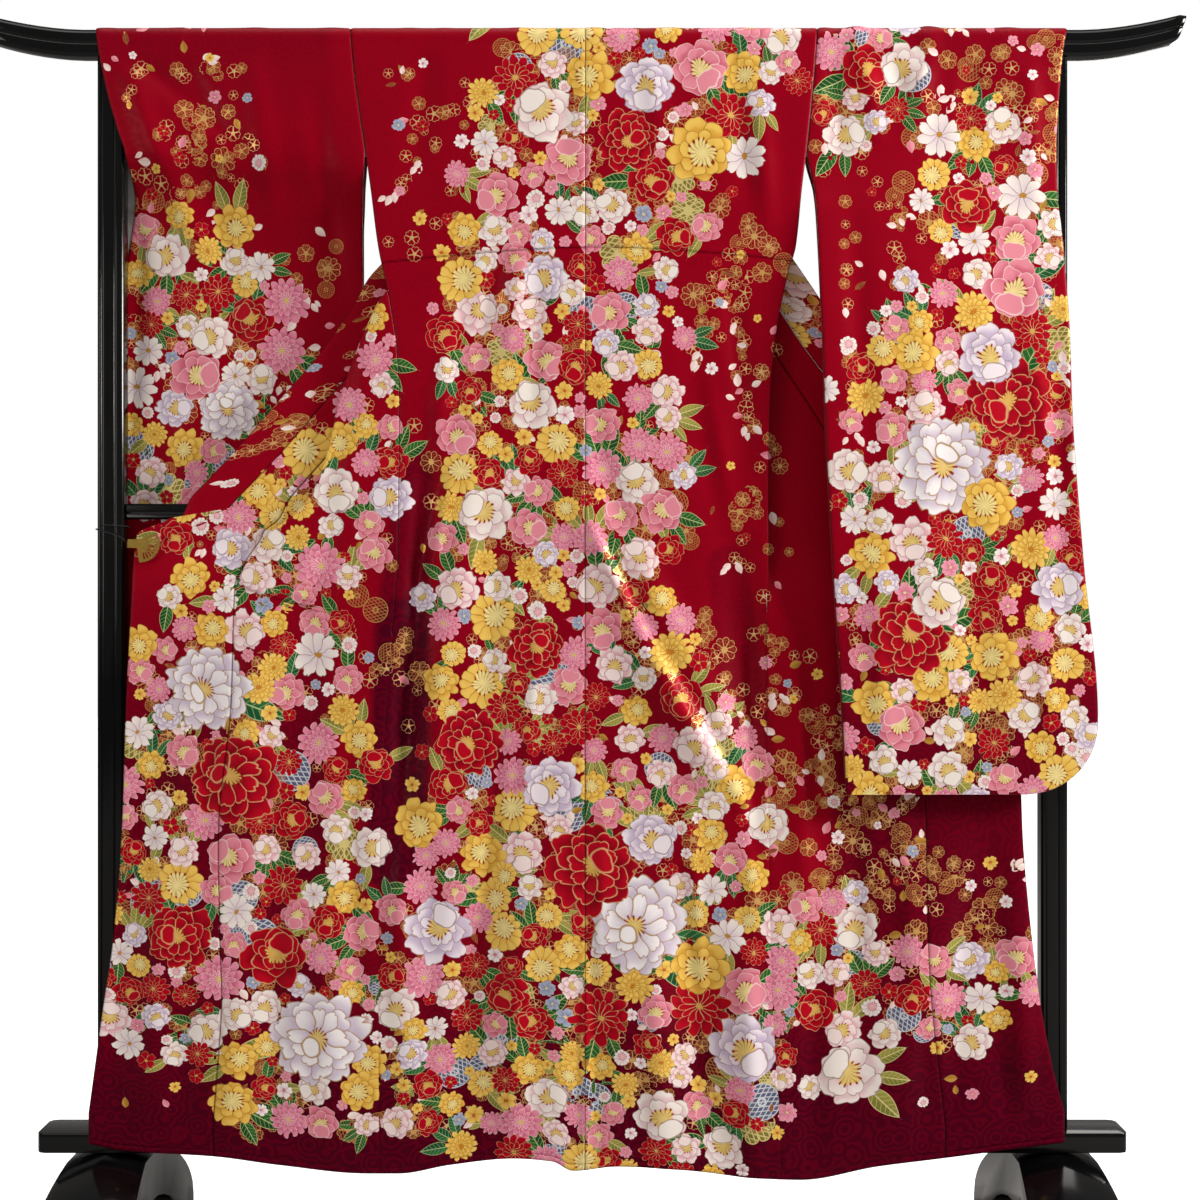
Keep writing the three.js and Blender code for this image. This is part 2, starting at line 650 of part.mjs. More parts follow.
/** A foot: an arched piece that runs front to back, ridged along its top, on two toes. */
function foot(sign) {
  const { reach, toe, waist, tip, tipHeight, arch, fall } = FOOT;
  const top = BOARD.low - SEAM;
  const toeSteps = [1, 0.94, 0.85, 0.7, 0.5, 0.25].map((f) => mix(toe, reach, f));
  const archSteps = [90, 75, 60, 45, 30].map((degrees) => toe * Math.sin((degrees * Math.PI) / 180));
  const halves = [...toeSteps, ...archSteps, BOARD.depth / 2];
  const stations = [...halves.map((y) => -y), 0, ...[...halves].reverse()];
  const rings = stations.map((y) => {
    const out = clamp((Math.abs(y) - BOARD.depth / 2) / (reach - BOARD.depth / 2), 0, 1);
    const high = mix(top, tipHeight, 0.35 * out + 0.65 * (1 - Math.sqrt(Math.max(1 - out ** 2.2, 0))));
    const half = mix(waist, tip, out) / 2;
    const low = Math.abs(y) < toe ? arch * Math.sqrt(1 - (y / toe) ** 2) : 0;
    const shoulder = Math.max(high - fall * 1.6, low + 6);
    const outline = [[-1, low], [-1, shoulder], [-0.8, shoulder + 0.45 * fall], [0, high],
      [0.8, shoulder + 0.45 * fall], [1, shoulder], [1, low]];
    return outline.map(([side, z]) => new THREE.Vector3(sign * POST.x + side * half, y, z));
  });
  return loft(rings, (p) => new THREE.Vector2(p.x, p.z));
}

/** The nearest and furthest depth of the cloth's outside where the clip holds its free edge. */
function clipDepth(sign) {
  const low = FRONT_LEVELS.indexOf(970);
  const depths = [0, 1, 2, 3, 4].flatMap((up) => [0, 0.5, 1, 1.5, 2].map((radii) => {
    const across = overlapWidth(sign, low) - radii * CLIP.radius;
    return bandPoint(sign, low - up, across).y;
  }));
  return { near: Math.min(...depths), far: Math.max(...depths) };
}

/** The clip's fan, in front of the cloth: ribs round a hub, with slots between them. */
function clipFan(sign) {
  const { radius, plate, ribs, hub } = CLIP;
  const [start, sweep] = [(-97 * Math.PI) / 180, (134 * Math.PI) / 180];
  const polar = (r, turned) => {
    const angle = start + turned * sweep;
    return new THREE.Vector2(-sign * r * Math.cos(angle), r * Math.sin(angle));
  };
  const edge = [];
  const scallops = ribs * 2;
  for (let i = 0; i <= scallops; i += 1) {
    edge.push(polar(radius * (i % 2 ? 1 : 0.96), i / scallops));
  }
  const hubCorners = [new THREE.Vector2(sign * hub * 0.7, hub * 0.8), new THREE.Vector2(sign * hub, 0)];
  const shape = new THREE.Shape([...edge, ...hubCorners]);
  const [slotFoot, slotTip] = [0.42 * radius, 0.84 * radius];
  for (let i = 1; i < ribs - 1; i += 1) {
    const [a, b] = [(i + 0.28) / (ribs - 0.5), (i + 0.78) / (ribs - 0.5)];
    const slot = [polar(slotFoot, a), polar(slotTip, a), polar(slotTip, b), polar(slotFoot, b)];
    shape.holes.push(new THREE.Path(sign < 0 ? slot : slot.reverse()));
  }
  const fan = new THREE.ExtrudeGeometry(shape, { depth: plate, bevelEnabled: false });
  fan.rotateX(Math.PI / 2);
  fan.translate(sign * CLIP.x, clipDepth(sign).near - 2 * SEAM - 1.5, CLIP.z);
  return fan;
}

/** The clip's spring: a strip bent round the cloth's edge, from the fan to the far side. */
function clipSpring(sign) {
  const held = clipDepth(sign);
  const edge = (sign < 0 ? LEFT : RIGHT)(CLIP.z).out;
  const strip = 1.5;
  const [near, far] = [held.near - SEAM - strip, held.far + WALL + 2 * SEAM + strip];
  const [inner, outer] = [near + strip * 0.8, far - strip];
  const outline = [
    [edge - 16, near], [edge + 7, near], [edge + 9, near + 2], [edge + 9, far - 2], [edge + 7, far],
    [edge - 22, far], [edge - 22, outer], [edge + 6, outer], [edge + 7.5, outer - 1],
    [edge + 7.5, near + strip + 1], [edge + 6, inner], [edge - 16, inner],
  ];
  const place = ([x, depth], z) => new THREE.Vector3(sign * x, depth, z);
  return straight(outline, place, CLIP.z - CLIP.halfStrip, CLIP.z + CLIP.halfStrip);
}

/** The clip's cord, from the spring to a loop round the post. */
function clipCord(sign) {
  const edge = (sign < 0 ? LEFT : RIGHT)(CLIP.z).out;
  const y = clipDepth(sign).near + 1;
  const clear = CLIP.cord / 2 + 1.3;
  const [inner, outer] = [POST.x - POST.width / 2 - clear, POST.x + POST.width / 2 + clear];
  const side = POST.depth / 2 + clear;
  const route = [
    [edge + 10.5, y, CLIP.z + 2],
    [edge + 16, Math.min(y, -side) - 1, CLIP.z + 8],
    [POST.x, -side - 2.5, CLIP.z + 15],
    [outer - 3, -side - 1.5, CLIP.z + 20],
    [outer, -side + 4, CLIP.z + 21],
    [outer, side - 4, CLIP.z + 22],
    [outer - 4, side, CLIP.z + 22.5],
    [inner + 4, side, CLIP.z + 23.5],
    [inner, side - 4, CLIP.z + 24],
    [inner, -side + 4, CLIP.z + 25],
    [inner + 4, -side, CLIP.z + 25.5],
    [outer - 9, -side, CLIP.z + 27],
  ].map(([x, depth, z]) => new THREE.Vector3(sign * x, depth, z));
  const path = new THREE.CatmullRomCurve3(route, false, 'centripetal');
  const steps = 28;
  const sides = 5;
  const frames = path.computeFrenetFrames(steps, false);
  const rings = fractions(steps).map((t, i) => fractions(sides).slice(0, -1).map((f) => {
    const angle = 2 * Math.PI * f;
    return path.getPointAt(t)
      .addScaledVector(frames.normals[i], (CLIP.cord / 2) * Math.cos(angle))
      .addScaledVector(frames.binormals[i], (CLIP.cord / 2) * Math.sin(angle));
  }));
  const centre = new THREE.Vector2();
  const corner = (i) => new THREE.Vector2(0, 1).rotateAround(centre, (2 * Math.PI * i) / sides);
  const flat = new Map(rings[0].map((p, i) => [p, corner(i)]));
  return loft(rings, (p) => flat.get(p));
}

const group = new THREE.Group();

/** Adds one named piece. */
function add(name, geometry, material) {
  const mesh = new THREE.Mesh(geometry, material.clone());
  mesh.name = name;
  group.add(mesh);
}

add('top_bar', topBar(), LACQUER);
add('mid_rail', rail(), LACQUER);
add('base_board', baseBoard(), LACQUER);
for (const [side, sign] of [['left', -1], ['right', 1]]) {
  add(`post_${side}`, post(sign), LACQUER);
  add(`foot_${side}`, foot(sign), LACQUER);
  add(`body_${side}`, bodyPanel(sign), SILK);
  add(`overlap_${side}`, overlapPanel(sign), SILK);
  add(`sleeve_${side}`, sleeve(sign), SILK);
  add(`clip_fan_${side}`, clipFan(sign), GILT);
  add(`clip_spring_${side}`, clipSpring(sign), GILT);
  add(`clip_cord_${side}`, clipCord(sign), CORD);
}
add('collar', collar(), SILK);

export default group;
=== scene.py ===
"""A furisode kimono that hangs by its sleeves on a black lacquered stand, seen from its back.

Lengths in the tables are millimetres, as a maker would write them, and meshes are in metres.
"""

from __future__ import annotations

import logging
import math
from dataclasses import dataclass
from enum import Enum
from typing import Callable

import bmesh
import bpy
import numpy as np
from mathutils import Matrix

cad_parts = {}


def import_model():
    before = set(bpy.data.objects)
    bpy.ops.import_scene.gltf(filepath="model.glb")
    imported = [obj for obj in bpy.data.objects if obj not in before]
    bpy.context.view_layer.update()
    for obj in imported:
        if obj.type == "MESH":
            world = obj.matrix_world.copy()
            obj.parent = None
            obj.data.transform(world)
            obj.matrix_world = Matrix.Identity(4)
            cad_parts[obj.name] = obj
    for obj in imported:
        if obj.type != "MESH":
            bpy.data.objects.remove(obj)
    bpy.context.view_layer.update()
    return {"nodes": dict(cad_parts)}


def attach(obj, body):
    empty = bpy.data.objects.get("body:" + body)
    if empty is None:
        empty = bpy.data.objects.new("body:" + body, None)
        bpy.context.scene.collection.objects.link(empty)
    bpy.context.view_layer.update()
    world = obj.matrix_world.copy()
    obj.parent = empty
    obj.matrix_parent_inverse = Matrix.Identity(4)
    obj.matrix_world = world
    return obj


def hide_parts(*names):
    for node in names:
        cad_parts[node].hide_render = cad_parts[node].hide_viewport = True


LOG = logging.getLogger("furisode")
MM = 0.001
Array = np.ndarray

WALL = 2.0  # thickness of every cloth wall
SEAM = 0.3  # gap between two sewn pieces
CENTRE_BACK = 4.0  # x of the seam down the back
FRONT_CUT = 238.0  # cut width of a front body panel
COLLAR_CUT = 50.0  # width of the folded collar band
PLEAT_ROUND = 6.0  # softness of a pleat's turn
TURN_EASE = 2.6  # more room in the collar's seam where the front turns over
BAR_TOP = 1744.0  # height of the bar that carries the garment
CLOTH_TOP = 1747.0  # height of the cloth over the bar
BAR_SIDE = 21.0  # depth of the cloth's outside in front of the bar
BAR_EDGE = 1722.0  # below this height the cloth hangs free of the bar
NECK_DROP = 62.0  # how far the back neck band hangs behind the bar
HEM_LOWEST = 115.0
HEM_EASE_TOP = 430.0  # below this height the rows of cloth follow the hem's wave
FOLD_LOW = 880.0  # an open front lies flat below this height,
FOLD_FULL = 960.0  # and turns back on itself above this one
PLAIN_START = 2.4  # how far inside the side seam a front without a pleat starts
OPEN_STEP = 6.0  # an open front lies this far behind its own hidden leg
KENSAKI = 1510.0  # height of the point where an overlap panel begins
COLLAR_END = 1062.0  # height of the collar's ends
SLEEVE_FOOT = 659.0
SLEEVE_ROUND = 100.0  # radius of a sleeve's lower outer corner
SLEEVE_CUT = 360.0  # cut width of a sleeve
ARMHOLE_FOOT = 1569.0  # a sleeve is sewn to the body above this height
CUFF_FOOT = 1520.0  # a cuff is open above this height
FRONT_TUCK = 1405.0  # height of the waist tuck on the fronts
SEAM_DEPTH = 1.2  # how deep the cloth turns in at a seam
SEAM_WIDTH = 1.8  # and how far beside it
FAR = 99.0  # stands for a distance at which nothing changes any more
BAR_ARC = 84.0  # length of the cloth's way over the bar
OVER_BAR = np.linspace(0, 1, 17)[1:-1]  # places along that way
TURN = 6.28  # a whole turn, for the random draws


class Side(Enum):
    """A side of the garment, as the viewer of its back sees it. The value is its sign along X."""

    LEFT = -1
    RIGHT = 1

    @property
    def word(self) -> str:
        """The side's name, as in the names of pieces."""
        return self.name.lower()


# ---------------------------------------------------------------- numbers


def mix(a: Array, b: Array, t: Array) -> Array:
    """Goes from a to b as t goes from 0 to 1."""
    return a + (b - a) * t


def ease(start: float, stop: float, v: Array) -> Array:
    """A smooth step from 0 at start to 1 at stop, in either direction."""
    t = np.clip((v - start) / (stop - start), 0.0, 1.0)
    return t * t * (3 - 2 * t)


def ramp(t: Array, soft: Array) -> Array:
    """A ramp that is 0 before t = 0 and t after it, rounded over soft."""
    return (t + np.hypot(t, soft)) / 2


def turned(t: Array, soft: Array) -> Array:
    """The slope of that ramp."""
    return (1 + t / np.hypot(t, soft)) / 2


def near_line(x: Array, z: Array, line: list[float]) -> tuple[Array, Array]:
    """The place on a line nearest to a point, from 0 to 1 along it, and how far away it is."""
    x0, z0, x1, z1 = line
    dx, dz = x1 - x0, z1 - z0
    held = np.clip(((x - x0) * dx + (z - z0) * dz) / (dx * dx + dz * dz), 0.0, 1.0)
    return held, np.hypot(x - x0 - held * dx, z - z0 - held * dz)


class Table:
    """Named columns over a falling key, read along smooth curves that never swing past the rows."""

    def __init__(self, columns: str, rows: list[tuple[float, ...]]) -> None:
        """Reads the rows.

        Args:
            columns: the columns' names, the key's first.
            rows: one tuple for each row, in falling order of the key.
        """
        data = np.array(rows, float)
        self.names = columns.split()[1:]
        self.keys = data[::-1, 0]
        self.values = data[::-1, 1:]
        rises = np.diff(self.values, axis=0) / np.diff(self.keys)[:, None]
        before = np.vstack([rises[:1], rises])
        after = np.vstack([rises, rises[-1:]])
        product = before * after
        total = np.where(product > 0, before + after, 1.0)
        self.slopes = np.where(product > 0, 2 * product / total, 0.0)

    def __call__(self, key: Array) -> dict[str, Array]:
        """Reads every column at a key."""
        k = np.clip(key, self.keys[0], self.keys[-1])
        i = np.clip(np.searchsorted(self.keys, k) - 1, 0, len(self.keys) - 2)
        span = self.keys[i + 1] - self.keys[i]
        t = (k - self.keys[i]) / span
        found = {}
        for c, name in enumerate(self.names):
            low, high = self.values[i, c], self.values[i + 1, c]
            rise, fall = self.slopes[i, c], self.slopes[i + 1, c]
            start = (1 + 2 * t) * (1 - t) ** 2 * low + t * (1 - t) ** 2 * span * rise
            end = t * t * (3 - 2 * t) * high + t * t * (t - 1) * span * fall
            found[name] = start + end
        return found


# ---------------------------------------------------------------- the garment's outline
# side: the side seam, and above it the armhole. pleat: the fold edge of the front panel's pleat.
# out: the front's free edge. band: cloth between the front panel and that edge.

OUTLINE_COLUMNS = "z side pleat out band"
OUTLINE = {
    Side.LEFT: Table(OUTLINE_COLUMNS, [
        (1747, 330, 330, 34, 50), (1690, 325, 325, 40, 50), (1569, 308, 308, 92, 54),
        (1510, 300, 300, 201, 60), (1434, 290, 290, 269, 80), (1391, 281, 284, 308, 90),
        (1356, 273, 297, 326, 98), (1288, 263, 326, 372, 116), (1213, 259, 352, 436, 125),
        (1142, 259, 368, 497, 138), (1077, 260, 392, 558, 143), (1045, 260, 424, 590, 158),
        (1026, 261, 450, 634, 180), (988, 261, 478, 637, 162), (940, 264, 494, 638, 146),
        (790, 278, 500, 645, 150), (620, 286, 510, 650, 138), (468, 288, 510, 661, 150),
        (340, 288, 510, 676, 168), (166, 287, 520, 695, 176),
    ]),  # fmt: skip
    Side.RIGHT: Table(OUTLINE_COLUMNS, [
        (1747, 334, 334, 34, 50), (1690, 330, 330, 40, 50), (1569, 318, 318, 98, 54),
        (1510, 311, 311, 212, 60), (1434, 303, 303, 292, 80), (1391, 291, 291, 322, 90),
        (1288, 272, 272, 388, 116), (1213, 266, 266, 446, 125), (1142, 264, 264, 505, 138),
        (1077, 263, 263, 562, 143), (1045, 263, 263, 596, 158), (1026, 263, 263, 628, 176),
        (988, 263, 263, 631, 160), (940, 263, 263, 628, 144), (790, 263, 263, 618, 134),
        (620, 264, 264, 621, 136), (393, 268, 268, 641, 152), (265, 275, 275, 659, 158),
        (166, 280, 280, 679, 168),
    ]),  # fmt: skip
}
DEPTH = Table("z back behind", [
    (1722, -21, 21), (1690, -23, 21), (1569, -27, 14), (1434, -29, 2), (1300, -31.5, -8),
    (1122, -34.7, -20), (1045, -36.5, -25), (960, -38, -29), (620, -44, -36),
    (160, -53, -45),
])  # fmt: skip
HEM = Table("x z", [
    (695, 170), (504, 145), (416, 134), (308, 115), (247, 117), (138, 129), (49, 134), (-13, 128),
    (-42, 141), (-96, 145), (-186, 136), (-258, 124), (-301, 124), (-427, 136), (-518, 148),
    (-645, 156), (-695, 166),
])  # fmt: skip
# inner: the edge beside the body. outer: the cuff edge and the seam below it. rear: the same edge
# of the layer behind. face and back: depth of the two layers' outsides in mid-width.
SLEEVE_COLUMNS = "z inner outer rear face back cuff"
SLEEVE = {
    Side.LEFT: Table(SLEEVE_COLUMNS, [
        (1747, 330.3, 693, 693, -21, 21, -21), (1722, 328.5, 690, 690, -21, 21, -21),
        (1654, 321, 676, 684, -24, 22, -22.5), (1597, 312, 660, 676, -25, 24, -23),
        (1569, 308.4, 651, 672, -22, 25, -22), (1510, 313, 643, 668, -6, 29, 10),
        (1450, 316, 652, 664, 8, 34, 24), (1380, 316, 664, 664, 16, 36, 30),
        (1300, 317, 665, 665, 20, 40, 31), (1068, 319, 666, 666, 21, 41, 31),
        (659, 322, 668, 668, 21, 41, 31),
    ]),  # fmt: skip
    Side.RIGHT: Table(SLEEVE_COLUMNS, [
        (1747, 334.3, 690, 690, -21, 21, -21), (1722, 332.7, 685, 676, -22, 21, -21),
        (1690, 330.5, 681, 649, -23, 21, -22), (1654, 327, 678, 645, -24, 17, -23),
        (1597, 321.5, 674, 643, -27, 6, -24), (1569, 318.4, 673, 643, -29, 0, -26),
        (1510, 329, 673, 647, -38, -14, -34), (1450, 332, 677, 677, -48, -27, -43),
        (1380, 334, 681, 681, -59, -42, -54), (1300, 337, 684, 684, -69, -50, -64),
        (1215, 339, 686, 686, -73, -53, -67), (988, 350, 702, 702, -74, -53, -68),
        (768, 364, 722, 722, -74, -53, -69), (659, 369, 722, 722, -74, -53, -69),
    ]),  # fmt: skip
}


# ---------------------------------------------------------------- folds and creases


class Folds:
    """Soft troughs (+) and ridges (-), each along a line, from a table with a row for each."""

    def __init__(self, rows: list[tuple[float, ...]]) -> None:
        """Keeps the rows: x0, z0, x1, z1, depth, width."""
        self.rows = rows

    def depth(self, x: Array, z: Array) -> Array:
        """How far the folds move a point of the cloth away from the viewer."""
        total = np.zeros_like(x)
        for *line, depth, width in self.rows:
            held, away = near_line(x, z, line)
            away = away / width
            total += depth * np.exp(-away * away) * np.sin(np.pi * (0.12 + 0.76 * held))
        return total


# The large folds are the solids' own, and the creases are finer.
BACK_FOLDS = Folds([
    (-165, 1400, -200, 1090, 9, 24), (-200, 1090, -272, 560, 11, 30),
    (-175, 1215, -236, 800, -9, 30), (-6, 1090, 90, 870, -8, 34),
    (90, 870, 224, 640, -12, 36), (152, 1320, 224, 980, 6, 30), (224, 980, 248, 650, 12, 32),
    (-120, 640, -160, 160, 9, 42), (60, 560, 40, 140, -8, 40), (150, 480, 190, 130, 8, 36),
    (-40, 520, -30, 140, -7, 34),
])  # fmt: skip
FRONT_FOLDS = {
    Side.LEFT: Folds([
        (-390, 960, -400, 520, 6, 34), (-470, 900, -560, 420, -6, 36),
        (-600, 900, -640, 300, 5, 34), (-360, 520, -350, 150, -6, 30),
    ]),  # fmt: skip
    Side.RIGHT: Folds([
        (330, 900, 350, 300, 6, 36), (520, 560, 430, 160, -7, 40),
        (575, 640, 560, 200, 6, 34),
    ]),  # fmt: skip
}
SLEEVE_FOLDS = {
    Side.LEFT: Folds([
        (-690, 1740, -520, 1380, -4, 26), (-620, 1380, -600, 800, 5, 34),
        (-430, 1300, -420, 700, 4, 34),
    ]),  # fmt: skip
    Side.RIGHT: Folds([
        (420, 1300, 440, 760, -4, 34), (600, 1380, 620, 900, 4, 30),
        (520, 1700, 500, 1540, 3, 22),
    ]),  # fmt: skip
}
BACK_CREASES = Folds([
    (-236, 970, -262, 560, 13, 22), (-205, 940, -216, 640, -6, 17),
    (-184, 1110, -222, 930, -5, 8), (-202, 1100, -242, 920, 6, 10),
    (-222, 930, -240, 640, -5, 9), (-2, 1060, 84, 880, -5, 8), (14, 1060, 100, 884, 5, 10),
    (84, 880, 228, 640, -4.4, 11), (100, 884, 246, 640, 5, 12), (-60, 900, -86, 600, -4, 9),
    (-110, 820, -146, 420, 5, 12), (150, 640, 176, 300, -5, 10), (30, 640, 22, 300, -4, 10),
    (60, 900, 215, 650, -6, 26), (232, 900, 256, 600, 10, 28), (-140, 620, -176, 170, 8, 28),
    (-92, 560, -96, 150, -6, 24), (30, 430, 26, 140, 6, 26), (100, 470, 110, 140, -6, 26),
    (150, 520, 190, 150, 8, 28), (-228, 480, -240, 170, -6, 22),
    (238, 430, 246, 150, -5, 22), (-120, 1418, -150, 1240, 8.1, 15),
    (-88, 1412, -104, 1290, -5.1, 12), (-62, 1408, -74, 1180, 4.7, 14),
    (-182, 1330, -214, 1120, -8.7, 16), (-214, 1180, -246, 930, 8.1, 16),
    (-150, 1120, -196, 820, -7.6, 20), (-120, 1000, -150, 700, 6.1, 19),
    (10, 1190, 80, 940, 6.6, 20), (70, 1010, 190, 760, -9.8, 21),
    (120, 900, 250, 560, 8.7, 22), (205, 760, 262, 420, -8.1, 20),
    (176, 1250, 214, 1040, -6.6, 16), (212, 1380, 236, 1120, 6.6, 16),
    (-252, 700, -268, 330, -9.1, 19), (-214, 560, -226, 180, 7.6, 20),
    (-92, 470, -100, 150, -6.6, 19), (8, 430, 2, 140, 6.6, 19),
    (104, 470, 112, 130, -7.2, 21), (228, 440, 236, 130, -7.6, 19),
    (-20, 1700, -30, 1560, 4.1, 16), (96, 1716, 110, 1580, -4.7, 15),
    (210, 1720, 236, 1520, 5.6, 19), (-220, 1720, -240, 1540, 4.7, 20),
    (250, 1640, 262, 1470, -6.1, 16),
])  # fmt: skip
FRONT_CREASES = {
    Side.LEFT: Folds([
        (-318, 1330, -372, 1010, 6.1, 16), (-330, 1120, -420, 900, -5.5, 16),
        (-350, 1060, -402, 860, 7, 13), (-430, 1140, -600, 1015, 7, 14),
        (-400, 1090, -560, 985, -6.1, 16), (-520, 1010, -618, 1000, 6.1, 12),
        (-452, 930, -486, 560, -6.1, 18), (-520, 800, -540, 420, 6.1, 19),
        (-430, 640, -440, 170, 7, 18), (-590, 620, -610, 180, -6.5, 19),
        (-330, 740, -322, 380, 6.5, 16), (-480, 420, -500, 160, -7, 19),
        (-560, 360, -566, 160, 5.5, 16), (-650, 560, -664, 180, 5.1, 16),
    ]),  # fmt: skip
    Side.RIGHT: Folds([
        (300, 880, 316, 480, -7, 18), (380, 760, 392, 240, 7, 20),
        (450, 720, 470, 300, -6.1, 19), (540, 520, 520, 170, 7, 18),
        (610, 560, 626, 180, -6.5, 18), (330, 420, 322, 150, 6.1, 18),
        (480, 360, 486, 160, 6.1, 19), (590, 300, 600, 170, 5.1, 14),
    ]),  # fmt: skip
}
SLEEVE_CREASES = {
    Side.LEFT: Folds([
        (-672, 1742, -470, 1560, 6.3, 16), (-650, 1700, -560, 1450, -5.5, 18),
        (-600, 1744, -520, 1620, 5, 14), (-470, 1720, -440, 1480, -4.2, 19),
        (-540, 1560, -480, 1180, 5.9, 22), (-380, 1650, -350, 1380, 4.6, 16),
        (-640, 1450, -655, 1120, 5, 13), (-400, 1300, -380, 860, -5, 20),
        (-500, 1150, -500, 720, 5, 22),
    ]),  # fmt: skip
    Side.RIGHT: Folds([
        (352, 1735, 366, 1560, 5.5, 14), (396, 1738, 418, 1590, -5.9, 13),
        (436, 1738, 452, 1640, 5, 12), (486, 1738, 474, 1600, -5, 14),
        (560, 1738, 540, 1560, 5.5, 18), (632, 1730, 640, 1500, -5, 16),
        (380, 1480, 402, 1120, 5, 19), (470, 1400, 486, 900, -5.5, 23),
        (660, 1330, 672, 900, 5.5, 16), (540, 1050, 566, 700, 5, 22),
        (410, 980, 424, 690, -5, 16), (640, 900, 660, 730, -4.2, 16),
    ]),  # fmt: skip
}


# ---------------------------------------------------------------- surfaces


def hemmed(x: Array, z: Array) -> Array:
    """The height of a row of cloth at x: low rows bend until the lowest follows the hem."""
    t = 1 - np.clip((z - HEM_LOWEST) / (HEM_EASE_TOP - HEM_LOWEST), 0.0, 1.0)
    return z + t * (HEM(x)["z"] - HEM_LOWEST)


def front_turns(side: Side, z: Array) -> dict[str, Array]:
    """Where the front's two turns lie at height z, across it from the side seam."""
    edge = OUTLINE[side](z)
    folded = ease(FOLD_LOW, FOLD_FULL, z)
    spare = np.maximum(0, edge["side"] + FRONT_CUT + edge["band"] - edge["out"]) * folded
    soft = PLEAT_ROUND * (1 + 1.4 * ease(1330, 1450, z))
    pleated = ease(1394, 1346, z) * float(side is Side.LEFT)
    pleat = np.maximum(edge["pleat"] - edge["side"], 0) * folded
    first = pleat - PLAIN_START * soft * (1 - pleated)
    reach = spare / 2 + ramp(first, soft)
    return {"spare": spare, "soft": soft, "first": first, "second": reach - soft**2 / (4 * reach)}


def front_point(side: Side, z: Array, s: Array) -> Array:
    """A point of a front, s across it from the side seam at height z, in millimetres."""
    edge, depth, t = OUTLINE[side](z), DEPTH(z), front_turns(side, z)
    first, second, soft, spare = t["first"], t["second"], t["soft"], t["spare"]
    turned_in = ramp(s - first, soft) - ramp(-first, soft)
    turned_out = ramp(s - second, soft) - ramp(-second, soft)
    hinged = (side is Side.LEFT) & (first > 0)
    start = np.where(hinged, 0.0, PLAIN_START) * ease(8, 0, s)
    across = edge["side"] + s - 2 * turned_in + 2 * turned_out - start
    stacked = ease(0, 40, spare)
    behind = (depth["behind"] - depth["back"]) * turned(s - first, soft)
    opened = OPEN_STEP * (1 + ease(1330, 1450, z)) * turned(s - second, soft)
    y = depth["back"] + stacked * (behind + opened)
    sewn = ease(1444, 1404, z) * (1 - ease(0, 30, s))
    under = np.where(hinged, 0.0, 2 * WALL + SEAM)
    y = mix(y, depth["back"] + under * stacked, sewn)
    x = side.value * across
    low = 1 - ease(FOLD_LOW, FOLD_LOW + 100, z)
    y = y + FRONT_FOLDS[side].depth(x, z) * low * ease(0, 60, s)
    y = y + BACK_FOLDS.depth(x, z) * (1 - ease(700, 900, z)) * (1 - ease(0, 60, s))
    shown = np.maximum(low, 1 - turned(s - first, soft))
    loose = shown * (1 - ease(1330, 1390, z)) * ease(0, 24, s)
    y = y + FRONT_CREASES[side].depth(x, z) * loose
    return np.stack([x, y, hemmed(x, z)], -1)


def print_x(side: Side, z: Array, s: Array) -> Array:
    """Where a front's point lies across the print, which runs straight down its folds."""
    t = front_turns(side, z)
    shift = t["spare"] * turned(s - (t["first"] + t["second"]) / 2, PLEAT_ROUND)
    return side.value * (OUTLINE[side](z)["side"] + s - shift)


def panel_width(side: Side, z: Array) -> Array:
    """The cut width of a front body panel at height z. It is narrower where the front lies flat."""
    edge = OUTLINE[side](z)
    flat = edge["out"] - edge["side"] - edge["band"]
    return mix(flat, np.maximum(FRONT_CUT, flat), ease(FOLD_LOW, FOLD_FULL, z))


def panel_across(side: Side, z: Array, q: Array) -> Array:
    """How far across a front panel the fraction q lies, with its turns always on the same q."""
    width, t = panel_width(side, z), front_turns(side, z)
    aligned = ease(1700, 1580, z) * ease(780, 950, z)
    legs = [0, 0.42, 0.62, 1] if side is Side.LEFT else [0, 0.1, 0.5, 1]
    turns = [
        np.zeros_like(width),
        np.clip(t["first"], 12, width - 45),
        np.clip(t["second"], 30, width - 18),
        width,
    ]
    stops = [mix(legs[i] * width, turns[i], aligned) for i in range(4)]
    found = np.zeros_like(q + width)
    for i in range(3):
        part = np.clip((q - legs[i]) / (legs[i + 1] - legs[i]), 0, 1)
        crowded = (1 - np.cos(np.pi * part)) / 2
        part = mix(part, crowded, 0.45 * aligned)
        found = np.where(q >= legs[i], mix(stops[i], stops[i + 1], part), found)
    return found


def collar_width(z: Array) -> Array:
    """The collar band's width along a level row: wider where the band runs aslant."""
    return mix(COLLAR_CUT, COLLAR_CUT * 1.36, ease(1560, 1330, z))


def overlap_width(side: Side, z: Array) -> Array:
    """The width of the overlap panel at height z. Below the collar's end it has the whole band."""
    band = OUTLINE[side](z)["band"]
    low = np.clip((COLLAR_END - z) / 14.0, 0, 1)
    return band - 2 * SEAM - collar_width(z) * (1 - low)


def band_point(side: Side, z: Array, s: Array) -> Array:
    """A point of a front, s from the body panel's inner seam."""
    return front_point(side, z, panel_width(side, z) + SEAM + s)


def back_x(side: Side, z: Array, u: Array) -> Array:
    """The x of the back, u of the way from the centre seam to the side."""
    return side.value * mix(CENTRE_BACK * side.value, OUTLINE[side](z)["side"], u)


def tuck_height(x: Array) -> Array:
    """The height of the waist tuck across the back: it falls a little towards the sides."""
    return 1431.0 - 21.0 * (np.abs(x - 20.0) / 290.0) ** 1.6


